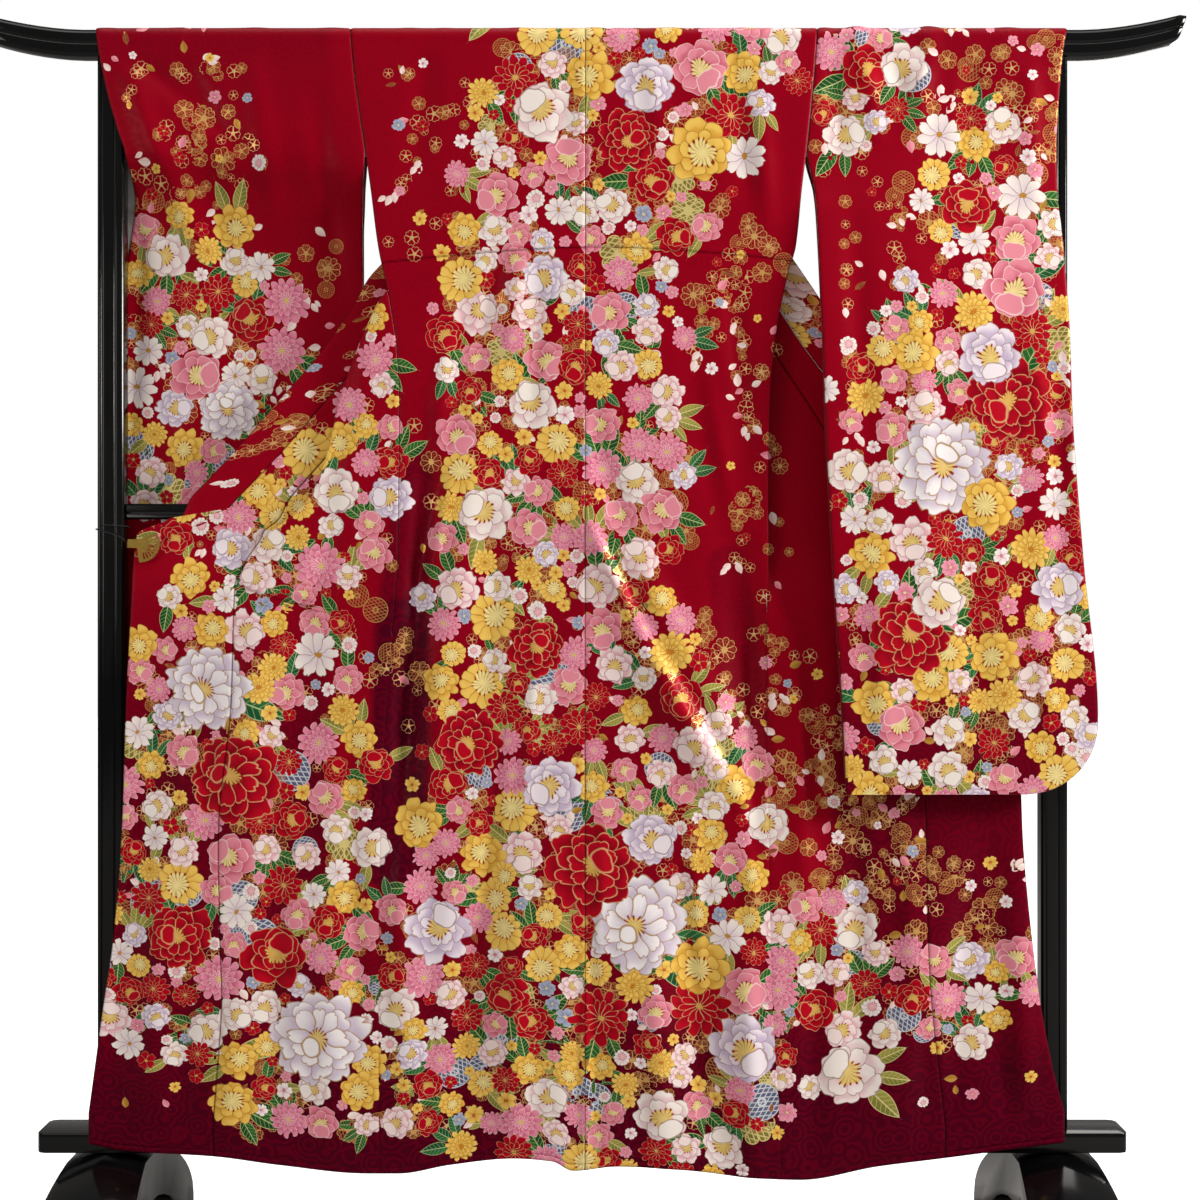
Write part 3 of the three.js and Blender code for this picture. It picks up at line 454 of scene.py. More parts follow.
def back_point(side: Side, z: Array, u: Array) -> Array:
    """A point of the back, u of the way from the centre seam to the side."""
    x = back_x(side, z, u)
    y = DEPTH(z)["back"] + ease(1700, 1560, z) * BACK_FOLDS.depth(x, z)
    loose = ease(0, 0.05, u) * ease(1, 0.88, u) * ease(BAR_EDGE, 1690, z)
    y = y + BACK_CREASES.depth(x, z) * loose
    if side is Side.RIGHT:  # clear of the front where it starts to turn behind the back
        y = y - 3.6 * ease(0.8, 0.95, u) * ease(1070, 1010, z) * ease(850, 920, z)
    above = z - tuck_height(x)
    y = y - 1.7 * np.exp(-np.maximum(above, 0) / 16.0) * ease(-1.5, 1.5, above)
    return np.stack([x, y, hemmed(x, z)], -1)


def over_bar(t: Array) -> tuple[Array, Array]:
    """The cloth's way over the bar, t from 0 in front to 1 behind: depth and height."""
    angle = np.pi * (1 - t)
    c, s = np.cos(angle), np.sin(angle)
    round_off = (np.abs(c) ** 4 + np.abs(s) ** 4) ** -0.25
    return BAR_SIDE * c * round_off, BAR_EDGE + (CLOTH_TOP - BAR_EDGE) * s * round_off


def gathers(x: Array) -> Array:
    """How high the bunched cloth stands at x, along the bar's top."""
    wave = np.sin(x / 11.0) * np.sin(x / 37.0 + 0.8) + 0.7 * np.sin(x / 19.0 + 1.3)
    return (0.35 + 1.3 * ease(330, 360, x) * ease(520, 470, x)) * wave


# ---------------------------------------------------------------- sheets of cloth


@dataclass
class Grid:
    """One panel's outside as rows and columns of points.

    Args:
        points: rows x columns x 3, in millimetres.
        flat: the same points on the flat cloth, where its print is laid out.
        flat_low: that place for the rows after `switch`, where the print starts anew.
        switch: the first row of faces that uses flat_low.
        dye_and_trough_shade: 0 for crimson to 1 for wine, at each point; the wine is dyed, and
            along the skirt's fold troughs it is painted shade as well.
        seam: distance of each point to the nearest sewn edge or seam.
        facing: 1 where columns, then rows, turn the way the outside faces, or else -1.
        edge: distance of each point to the nearest free edge, where the silk turns in.
    """

    points: Array
    flat: Array
    dye_and_trough_shade: Array
    seam: Array
    facing: int
    edge: Array
    flat_low: Array | None = None
    switch: int = 0

    @property
    def order(self) -> slice:
        """The order of a face's corners, so that it faces outwards."""
        return slice(None, None, -1) if self.facing < 0 else slice(None)

    def normals(self) -> Array:
        """The outward normal at each point."""
        across = np.gradient(self.points, axis=1)
        along = np.gradient(self.points, axis=0)
        normal = np.cross(across, along) * self.facing
        return normal / np.maximum(np.linalg.norm(normal, axis=-1, keepdims=True), 1e-9)


def face_corners(rows: int, columns: int) -> Array:
    """Corner indices of the faces of a grid, in rows."""
    index = np.arange(rows * columns).reshape(rows, columns)
    a, b = index[:-1, :-1], index[:-1, 1:]
    c, d = index[1:, 1:], index[1:, :-1]
    return np.stack([a, b, c, d], -1).reshape(-1, 4)


def path(points: Array) -> Array:
    """The distance along a row of points, at each of them."""
    return np.cumsum(np.r_[0, np.linalg.norm(np.diff(points, axis=0), axis=-1)])


def spaced(length: float, step: float, fine: float = 1.6) -> Array:
    """Places from 0 to length, about step apart, with finer ones near both ends."""
    near = np.array([0.0, fine, 2.6 * fine])
    count = max(int(round((length - 2 * near[-1]) / step)), 1)
    middle = np.linspace(near[-1], length - near[-1], count + 1)
    return np.concatenate([near[:-1], middle, length - near[1::-1]])


EMPTY = (9.0, 9.0, 0.5)  # a place off every motif
MOTIF_REACH = 1.04  # how far a motif is painted, in its radii
CORNER_REACH = 1.5  # how far a face's corner lies from its middle, in half widths
SOLID_HEART = 0.7  # nothing below a flower shows this near its middle, in its radii
PLAIN, LIGHT, MIDDLE, FULL, LINING = range(5)  # the places of the silk's materials on a mesh


class Layer(Enum):
    """A layer of the print, from the top down, with the number of motifs that it may stack."""

    FLOWER = ("flower", 3)
    LEAF = ("leaf", 2)
    GOLD = ("gold", 2)

    def __init__(self, word: str, depth: int) -> None:
        """Keeps the layer's name and depth."""
        self.word = word
        self.stack = depth


@dataclass
class Print:
    """Motifs on flat cloth: for each layer, rows of x, z, radius, angle, kind, variant."""

    motifs: dict[Layer, Array]

    def laid_on(self, corners: Array, layer: Layer) -> tuple[list[Array], Array]:
        """Lays one layer on faces.

        Args:
            corners: faces x 4 x 2, each face's corners on the flat cloth.
            layer: the layer to lay.

        Returns:
            One array of faces x 4 x 3 for each depth of the stack, with a motif's own
            coordinates and its code, and the number of motifs on each face.
        """
        count = len(corners)
        stacks = [np.full((count, 4, 3), EMPTY, np.float32) for _ in range(layer.stack)]
        used = np.zeros(count, int)
        hidden = np.zeros(count, bool)
        centre = corners.mean(1)
        half = np.abs(corners - centre[:, None]).max((1, 2))
        low, high = centre.min(0), centre.max(0)
        for x, z, radius, angle, kind, variant in self.motifs[layer][::-1]:
            beyond = np.maximum(low - radius - (x, z), (x, z) - high - radius)
            if beyond.max() >= 0:
                continue
            away = np.hypot(centre[:, 0] - x, centre[:, 1] - z)
            free = ~hidden & (used < layer.stack)
            met = np.flatnonzero((away < radius * MOTIF_REACH + half * CORNER_REACH) & free)
            if not len(met):
                continue
            c, s = math.cos(angle), math.sin(angle)
            dx, dz = corners[met, :, 0] - x, corners[met, :, 1] - z
            own = np.stack([(dx * c + dz * s) / radius, (dz * c - dx * s) / radius], -1)
            for depth in range(layer.stack):
                here = used[met] == depth
                stacks[depth][met[here], :, :2] = own[here]
                stacks[depth][met[here], :, 2] = kind + 0.02 + 0.96 * variant
            used[met] += 1
            if layer is Layer.FLOWER:
                hidden[met] |= away[met] < radius * SOLID_HEART - half[met] * CORNER_REACH
        return stacks, used


def lining_dye(z: Array) -> Array:
    """The lining's dye at a height: white above, wine low down."""
    return ease(760, 620, z)


@dataclass
class ClothPiece:
    """A cloth piece as a closed thin shell: a printed outside, a lining and a narrow edge."""

    name: str
    replaces: str
    grid: Grid
    flat_size: tuple[float, float]
    flat_area: float
    rests_on: list[str]
    held: str = "hung"

    def build(self, prints: Print, finishes: "SilkFinishes") -> bpy.types.Object:
        """Args:
            prints: the motifs for this panel.
            finishes: the silk's materials.

        Returns:
            The finished object.
        """
        grid = self.grid
        rows, columns = grid.points.shape[:2]
        normals = grid.normals()
        inside = grid.points - WALL * normals
        sunk = SEAM_DEPTH * np.exp(-((grid.seam / SEAM_WIDTH) ** 2))
        outside = grid.points - sunk[..., None] * normals
        points = np.concatenate([outside.reshape(-1, 3), inside.reshape(-1, 3)]) * MM
        outer = face_corners(rows, columns)
        inner = outer[:, ::-1] + rows * columns
        faces = np.concatenate([outer, inner, self._rims(rows, columns)])
        if grid.facing < 0:
            faces = faces[:, ::-1]
        mesh = bpy.data.meshes.new(self.name)
        mesh.vertices.add(len(points))
        mesh.vertices.foreach_set("co", points.astype(np.float32).ravel())
        mesh.loops.add(faces.size)
        mesh.loops.foreach_set("vertex_index", faces.ravel().astype(np.int32))
        mesh.polygons.add(len(faces))
        mesh.polygons.foreach_set("loop_start", np.arange(0, faces.size, 4, dtype=np.int32))
        self._dress(mesh, prints, finishes, faces, len(outer))
        mesh.update(calc_edges=True)
        mesh.validate()
        obj = bpy.data.objects.new(self.name, mesh)
        bpy.context.scene.collection.objects.link(obj)
        self._crease_rims(mesh)
        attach(obj, "root")
        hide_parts(self.replaces)
        return obj

    @staticmethod
    def _rims(rows: int, columns: int) -> Array:
        """The faces of the shell's four edges."""
        index = np.arange(rows * columns).reshape(rows, columns)
        loop = np.concatenate([index[0, :-1], index[:-1, -1], index[-1, :0:-1], index[:0:-1, 0]])
        following = np.roll(loop, -1)
        far = rows * columns
        return np.stack([loop, loop + far, following + far, following], -1)

    @staticmethod
    def _crease_rims(mesh: bpy.types.Mesh) -> None:
        """Smooth shading all over, with sharp edges where the wall ends."""
        mesh.polygons.foreach_set("use_smooth", np.ones(len(mesh.polygons), bool))
        mesh.set_sharp_from_angle(angle=math.radians(60))

    def _dress(
        self,
        mesh: bpy.types.Mesh,
        prints: Print,
        finishes: "SilkFinishes",
        faces: Array,
        count: int,
    ) -> None:
        """Writes the attributes that the materials read, and gives each face its material.

        Args:
            mesh: the shell, whose faces start with the outside.
            prints: the motifs for this panel.
            finishes: the silk's materials.
            faces: the corners of every face.
            count: how many faces the outside has.
        """
        grid = self.grid
        rows, columns = grid.points.shape[:2]
        total = len(faces)
        outer = face_corners(rows, columns)
        flat = grid.flat.reshape(-1, 2)[outer]
        if grid.flat_low is not None:
            low = np.arange(count) // (columns - 1) >= grid.switch
            flat = np.where(low[:, None, None], grid.flat_low.reshape(-1, 2)[outer], flat)
        shown = {}
        for layer in Layer:
            stacks, shown[layer] = prints.laid_on(flat, layer)
            for depth, values in enumerate(stacks):
                data = np.full((total, 4, 3), EMPTY, np.float32)
                data[:count] = values[:, grid.order]
                attribute = mesh.attributes.new(f"{layer.word}_{depth}", "FLOAT_VECTOR", "CORNER")
                attribute.data.foreach_set("vector", data.ravel())
        pairs = {
            "dye_and_trough_shade": (grid.dye_and_trough_shade, lining_dye(grid.points[..., 2])),
            "seam": (grid.seam, grid.seam),
            "edge": (grid.edge, grid.edge),
        }
        for name, both in pairs.items():
            attribute = mesh.attributes.new(name, "FLOAT", "POINT")
            attribute.data.foreach_set("value", np.ravel(both).astype(np.float32))
        cloth = mesh.attributes.new("cloth", "FLOAT_VECTOR", "CORNER")
        data = np.zeros((total, 4, 3), np.float32)
        data[:count, :, :2] = flat[:, grid.order] * MM
        spread = np.concatenate([grid.flat.reshape(-1, 2)] * 2)
        data[count:, :, :2] = spread[faces[count:]] * MM
        cloth.data.foreach_set("vector", data.ravel())
        for material in finishes.all:
            mesh.materials.append(material)
        kind = np.zeros(total, np.int32)
        busy = shown[Layer.FLOWER] + shown[Layer.LEAF] + shown[Layer.GOLD]
        ground = np.maximum(shown[Layer.LEAF], shown[Layer.GOLD]) <= 1
        one, two = ground & (shown[Layer.FLOWER] <= 1), ground & (shown[Layer.FLOWER] <= 2)
        kind[:count] = np.select([busy == 0, one, two], [PLAIN, LIGHT, MIDDLE], FULL)
        kind[count : 2 * count] = LINING
        mesh.polygons.foreach_set("material_index", kind)
        self._unfold(mesh, rows, columns, total, count)

    def _unfold(
        self, mesh: bpy.types.Mesh, rows: int, columns: int, total: int, count: int
    ) -> None:
        """Lays the shell out flat for baking: the outside in strips, the lining small beside it."""
        grid = self.grid
        along, across = path(grid.points[:, columns // 2]), path(grid.points[rows // 2])
        width, length = across[-1], along[-1]
        strips = max(int(round(math.sqrt(length / (1.3 * width)))), 1)
        tall = length / strips
        row = np.arange(count) // (columns - 1)
        column = np.arange(count) % (columns - 1)
        strip = np.minimum((along[row] / tall).astype(int), strips - 1)
        margin = 8.0
        u = np.stack([across[column], across[column + 1], across[column + 1], across[column]], -1)
        v = np.stack([along[row], along[row], along[row + 1], along[row + 1]], -1)
        v = v - (strip * tall)[:, None]
        outside = np.stack([u + (strip * (width + margin))[:, None], v], -1)
        side = max(strips * (width + margin) * 1.24, tall * 1.02 + 20)
        lining_u = strips * (width + margin) + u / width * 0.2 * strips * width
        lining_v = (v + (strip * tall)[:, None]) / length * tall
        lining = np.stack([lining_u, lining_v], -1)
        rest = np.zeros((total - 2 * count, 4, 2)) + (0.995 * side, 0.995 * side)
        rest = rest + np.array([(0, 0), (0, 2), (2, 2), (2, 0)])
        order = grid.order
        uv = np.concatenate([outside[:, order], lining[:, ::-1][:, order], rest[:, order]]) / side
        layer = mesh.uv_layers.new(name="OFBake")
        layer.data.foreach_set("uv", uv.astype(np.float32).ravel())


# ---------------------------------------------------------------- node arithmetic


class Number:
    """A number in a node tree. Arithmetic on it adds Math nodes."""

    def __init__(self, tree: bpy.types.NodeTree, socket: bpy.types.NodeSocket) -> None:
        """Keeps the tree and the socket that carries the number."""
        self.tree = tree
        self.socket = socket

    def op(
        self, operation: str, *values: "Number | float", first: bool = True, clamp: bool = False
    ) -> "Number":
        """Adds one Math node.

        Args:
            operation: Blender's name for it.
            values: its other inputs, in order.
            first: whether this number is its first input, and not its last.
            clamp: whether the result is kept from 0 to 1.

        Returns:
            The node's result.
        """
        node = self.tree.nodes.new("ShaderNodeMath")
        node.operation = operation
        node.use_clamp = clamp
        order = (self, *values) if first else (*values, self)
        for socket, value in zip(node.inputs, order):
            if isinstance(value, Number):
                self.tree.links.new(value.socket, socket)
            else:
                socket.default_value = value
        return Number(self.tree, node.outputs[0])

    def __add__(self, other: "Number | float") -> "Number":
        """Sum."""
        return self.op("ADD", other)

    def __sub__(self, other: "Number | float") -> "Number":
        """Difference."""
        return self.op("SUBTRACT", other)

    def __rsub__(self, other: float) -> "Number":
        """Difference from a constant."""
        return self.op("SUBTRACT", other, first=False)

    def __mul__(self, other: "Number | float") -> "Number":
        """Product."""
        return self.op("MULTIPLY", other)

    def __truediv__(self, other: "Number | float") -> "Number":
        """Quotient."""
        return self.op("DIVIDE", other)

    def __abs__(self) -> "Number":
        """Size without sign."""
        return self.op("ABSOLUTE")

    def __pow__(self, power: float) -> "Number":
        """Power."""
        return self.op("POWER", power)

    def between(self, low: "Number | float", high: "Number | float") -> "Number":
        """0 below low, 1 above high, and a smooth step between them; low may be the higher."""
        node = self.tree.nodes.new("ShaderNodeMapRange")
        node.interpolation_type = "SMOOTHSTEP"
        self.tree.links.new(self.socket, node.inputs["Value"])
        for name, value in (("From Min", low), ("From Max", high)):
            if isinstance(value, Number):
                self.tree.links.new(value.socket, node.inputs[name])
            else:
                node.inputs[name].default_value = value
        return Number(self.tree, node.outputs["Result"])


Colour = tuple[float, float, float]


def rgb(code: int) -> Colour:
    """A colour for shaders from a maker's six-figure code."""
    parts = [((code >> shift) & 255) / 255 for shift in (16, 8, 0)]
    return tuple(c / 12.92 if c <= 0.04045 else ((c + 0.055) / 1.055) ** 2.4 for c in parts)


class Painter:
    """Adds colour nodes to a tree."""

    def __init__(self, tree: bpy.types.NodeTree) -> None:
        """Keeps the tree."""
        self.tree = tree

    def mix(self, share: Number | float, under: object, over: object) -> bpy.types.NodeSocket:
        """Mixes two colours, each a socket or a tuple."""
        node = self.tree.nodes.new("ShaderNodeMix")
        node.data_type = "RGBA"
        inputs = node.inputs
        for socket, value in ((inputs[0], share), (inputs[6], under), (inputs[7], over)):
            if isinstance(value, Number):
                self.tree.links.new(value.socket, socket)
            elif isinstance(value, bpy.types.NodeSocket):
                self.tree.links.new(value, socket)
            elif isinstance(value, tuple):
                socket.default_value = (*value, 1.0)
            else:
                socket.default_value = value
        return node.outputs[2]

    def chart(self, place: Number, colours: list[tuple[float, ...]]) -> bpy.types.Node:
        """A ramp with one flat step for each colour, read at place from 0 to 1."""
        node = self.tree.nodes.new("ShaderNodeValToRGB")
        ramp_of = node.color_ramp
        ramp_of.interpolation = "CONSTANT"
        while len(ramp_of.elements) < len(colours):
            ramp_of.elements.new(1.0)
        for i, colour in enumerate(colours):
            ramp_of.elements[i].position = i / len(colours)
            ramp_of.elements[i].color = (*colour, 1.0) if len(colour) == 3 else colour
        self.tree.links.new(place.socket, node.inputs[0])
        return node

    def split(self, socket: bpy.types.NodeSocket) -> tuple[Number, Number, Number]:
        """The three parts of a vector."""
        node = self.tree.nodes.new("ShaderNodeSeparateXYZ")
        self.tree.links.new(socket, node.inputs[0])
        return tuple(Number(self.tree, out) for out in node.outputs)

    def vector(self, *parts: Number) -> bpy.types.NodeSocket:
        """A vector from three numbers."""
        node = self.tree.nodes.new("ShaderNodeCombineXYZ")
        for part, socket in zip(parts, node.inputs):
            self.tree.links.new(part.socket, socket)
        return node.outputs[0]

    def noise(self, place: bpy.types.NodeSocket, scale: float, detail: float) -> bpy.types.Node:
        """Soft noise over a place."""
        node = self.tree.nodes.new("ShaderNodeTexNoise")
        node.inputs["Scale"].default_value = scale
        node.inputs["Detail"].default_value = detail
        self.tree.links.new(place, node.inputs["Vector"])
        return node

    def cloud(self, place: bpy.types.NodeSocket, scale: float, detail: float) -> Number:
        """The strength of soft noise over a place."""
        return Number(self.tree, self.noise(place, scale, detail).outputs[0])

    def attribute(self, name: str) -> bpy.types.Node:
        """An attribute of the mesh."""
        node = self.tree.nodes.new("ShaderNodeAttribute")
        node.attribute_name = name
        return node

    def factor(self, name: str) -> Number:
        """An attribute of the mesh that is one number."""
        return Number(self.tree, self.attribute(name).outputs["Fac"])

    def object_place(self) -> bpy.types.NodeSocket:
        """The place on the object itself."""
        return self.tree.nodes.new("ShaderNodeTexCoord").outputs["Object"]

    def bump(self, shader: bpy.types.Node, height: Number, strength: float, reach: float) -> None:
        """Lifts the surface of a shader by a height."""
        node = self.tree.nodes.new("ShaderNodeBump")
        node.inputs["Strength"].default_value = strength
        node.inputs["Distance"].default_value = reach
        self.tree.links.new(height.socket, node.inputs["Height"])
        self.tree.links.new(node.outputs["Normal"], shader.inputs["Normal"])


def new_material(name: str) -> tuple[bpy.types.Material, Painter, bpy.types.Node]:
    """A new material, with a painter for its tree and its main shader."""
    material = bpy.data.materials.new(name)
    material.use_nodes = True
    return material, Painter(material.node_tree), material.node_tree.nodes["Principled BSDF"]


# ---------------------------------------------------------------- motifs


@dataclass(frozen=True)
class Flower:
    """A kind of flower: its colours, and the form of its petals.

    Args:
        tip, base, line, heart: colours of the petals' tips and feet, of their outlines and of
            the flower's heart.
        petals: petals in a ring.
        middle, inner: radii of the second and third rings, or 0 for none.
        cup: radius of the heart.
        dots: 1 where anthers show round the heart.
        lap: 1 where a petal laps over the heart.
        fall: how far a petal's outline falls away beside its tip.
        notch: depth of the notch in a petal's tip.
    """

    tip: Colour
    base: Colour
    line: Colour
    heart: Colour
    petals: int
    middle: float
    inner: float
    cup: float
    dots: float
    lap: float
    fall: float = 0.22
    notch: float = 0.0


WHITE, GREY_LINE, ROSE_LINE, OCHRE_LINE = 0xF3E9E2, 0xA58C88, 0xF3CFCF, 0xA9762C
GOLD_LINE, HEART = 0xD9A173, 0xE3C57A
FLOWERS = {
    name: Flower(*map(rgb, row[:4]), *row[4:])
    for name, *row in (
        ("white_camellia", WHITE, 0xD9ABB6, GREY_LINE, HEART,
         6, 0.78, 0.0, 0.38, 1.0, 1.0, 0.22, 0.04),
        ("lavender_camellia", 0xEFE4EC, 0xAE96BE, GREY_LINE, HEART,
         7, 0.80, 0.58, 0.34, 1.0, 1.0, 0.22, 0.05),
        ("blush_camellia", 0xF6E2DF, 0xDC8DA4, GREY_LINE, HEART,
         7, 0.76, 0.0, 0.36, 1.0, 1.0, 0.22, 0.04),
        ("pink_camellia", 0xE48C9C, 0xBE4663, ROSE_LINE, 0xEBD697, 6, 0.78, 0.0, 0.38, 1.0, 1.0),
        ("yellow_camellia", 0xF0C660, 0xD08E24, OCHRE_LINE, 0xF0DC93, 8, 0.74, 0.0, 0.40, 1.0, 0.0),
        ("red_camellia", 0xB20A20, 0x7C0216, GOLD_LINE, 0xDDB060, 6, 0.78, 0.54, 0.32, 1.0, 1.0),
        ("pink_chrysanthemum", 0xE98FA8, 0xC04A70, ROSE_LINE, HEART,
         13, 0.66, 0.38, 0.12, 0.0, 0.0, 0.30),
        ("yellow_chrysanthemum", 0xF2CB68, 0xD89A30, OCHRE_LINE, 0xC97F28,
         13, 0.66, 0.36, 0.14, 0.0, 0.0, 0.30),
        ("red_chrysanthemum", 0xB00A20, 0x8A0318, GOLD_LINE, 0xDDB060,
         12, 0.62, 0.0, 0.12, 0.0, 0.0, 0.30),
        ("white_daisy", WHITE, 0xDCC6D4, GREY_LINE, 0xC08A3A,
         9, 0.0, 0.0, 0.13, 0.0, 0.0, 0.30, 0.05),
        ("white_rosette", WHITE, 0xEBC3CF, GREY_LINE, 0xEFB9C4, 12, 0.0, 0.0, 0.46, 1.0, 0.0, 0.12),
        ("yellow_rosette", 0xF0C864, 0xDBA03A, OCHRE_LINE, 0xF2DE98,
         12, 0.0, 0.0, 0.50, 1.0, 0.0, 0.12),
        ("white_peony", 0xF6F0F2, 0xB39CBD, 0xB08D62, HEART,
         9, 0.84, 0.62, 0.20, 1.0, 1.0, 0.20, 0.07),
        ("red_peony", 0xB60C22, 0x6C0112, GOLD_LINE, 0xDDB060,
         8, 0.82, 0.60, 0.22, 1.0, 1.0, 0.20, 0.05),
        ("white_cherry", 0xFBF3F0, 0xE6B9C6, GREY_LINE, 0xD98A9A,
         5, 0.0, 0.0, 0.16, 1.0, 0.0, 0.30, 0.13),
        ("pink_cherry", 0xEC9DB0, 0xCF5C80, ROSE_LINE, 0xF4E0B0,
         5, 0.0, 0.0, 0.16, 1.0, 0.0, 0.30, 0.13),
        ("yellow_cherry", 0xF2CC6A, 0xDDA038, OCHRE_LINE, 0xC8602F,
         5, 0.0, 0.0, 0.16, 1.0, 0.0, 0.30, 0.13),
        ("slate_cherry", 0xA9B0C6, 0x68749A, 0xE8E4E6, 0xE3D5A0,
         5, 0.0, 0.0, 0.18, 0.0, 0.0, 0.30, 0.13),
        ("red_cherry", 0xB30C22, 0x930419, GOLD_LINE, 0xDDB060,
         5, 0.0, 0.0, 0.18, 1.0, 0.0, 0.30, 0.13),
    )
}  # fmt: skip
FLOWER_NAMES = list(FLOWERS)


@dataclass(frozen=True)
class Leaf:
    """A kind of leaf or fallen petal: its two tones, its outline and its width."""

    dark: Colour
    light: Colour
    line: Colour
    width: float
    veins: float
    gilt: float = 0.0


LEAVES = {
    "green_leaf": Leaf(rgb(0x17431F), rgb(0x2F6A30), rgb(0xBFC98A), 0.46, 1.0),
    "olive_leaf": Leaf(rgb(0x6E7230), rgb(0xA49C4A), rgb(0xE0D292), 0.42, 1.0),
    "deep_leaf": Leaf(rgb(0x13422A), rgb(0x2F6E3D), rgb(0xA9C08A), 0.44, 1.0),
    "pale_petal": Leaf(rgb(0xEFC9C6), rgb(0xFBEDE6), rgb(0xD99A8E), 0.60, 0.0),
    "pink_petal": Leaf(rgb(0xDD6E85), rgb(0xF0A0AC), rgb(0xF8D9D2), 0.60, 0.0),
    "gold_petal": Leaf(rgb(0xB0772E), rgb(0xD5A24A), rgb(0xF3D489), 0.56, 0.0, 0.9),
    "blue_leaf": Leaf(rgb(0x56678A), rgb(0x8C98B4), rgb(0xE4E2E6), 0.36, 1.0),
    "gold_leaf": Leaf(rgb(0x8C2A26), rgb(0xA2402F), rgb(0xE9BE6B), 0.40, 1.0, 0.9),
}
LEAF_NAMES = list(LEAVES)


@dataclass(frozen=True)
class Gilt:
    """A kind of drawn figure on the ground: its line, its filling, its petals and its net."""

    line: Colour
    filling: Colour
    metal: float
    petals: int
    notch: float
    net: float
    fill: float


GILTS = {
    "net_cherry": Gilt(rgb(0xD9A864), rgb(0x9A2C26), 0.35, 5, 0.12, 0.7, 0.12),
    "line_cherry": Gilt(rgb(0xE6BC7E), rgb(0x9A2C26), 0.35, 5, 0.14, 0.0, 0.0),
    "net_ball": Gilt(rgb(0xCE9A58), rgb(0x96302A), 0.35, 0, 0.0, 0.8, 0.16),
    "rosette": Gilt(rgb(0xDDAE6C), rgb(0x8E2622), 0.35, 9, 0.0, 0.4, 0.15),
    "slate_net": Gilt(rgb(0xC9CBD2), rgb(0x56607E), 0.0, 0, 0.0, 1.0, 0.92),
    "olive_net": Gilt(rgb(0xDCCB84), rgb(0x87803F), 0.2, 7, 0.0, 1.0, 0.85),
}
GILT_NAMES = list(GILTS)


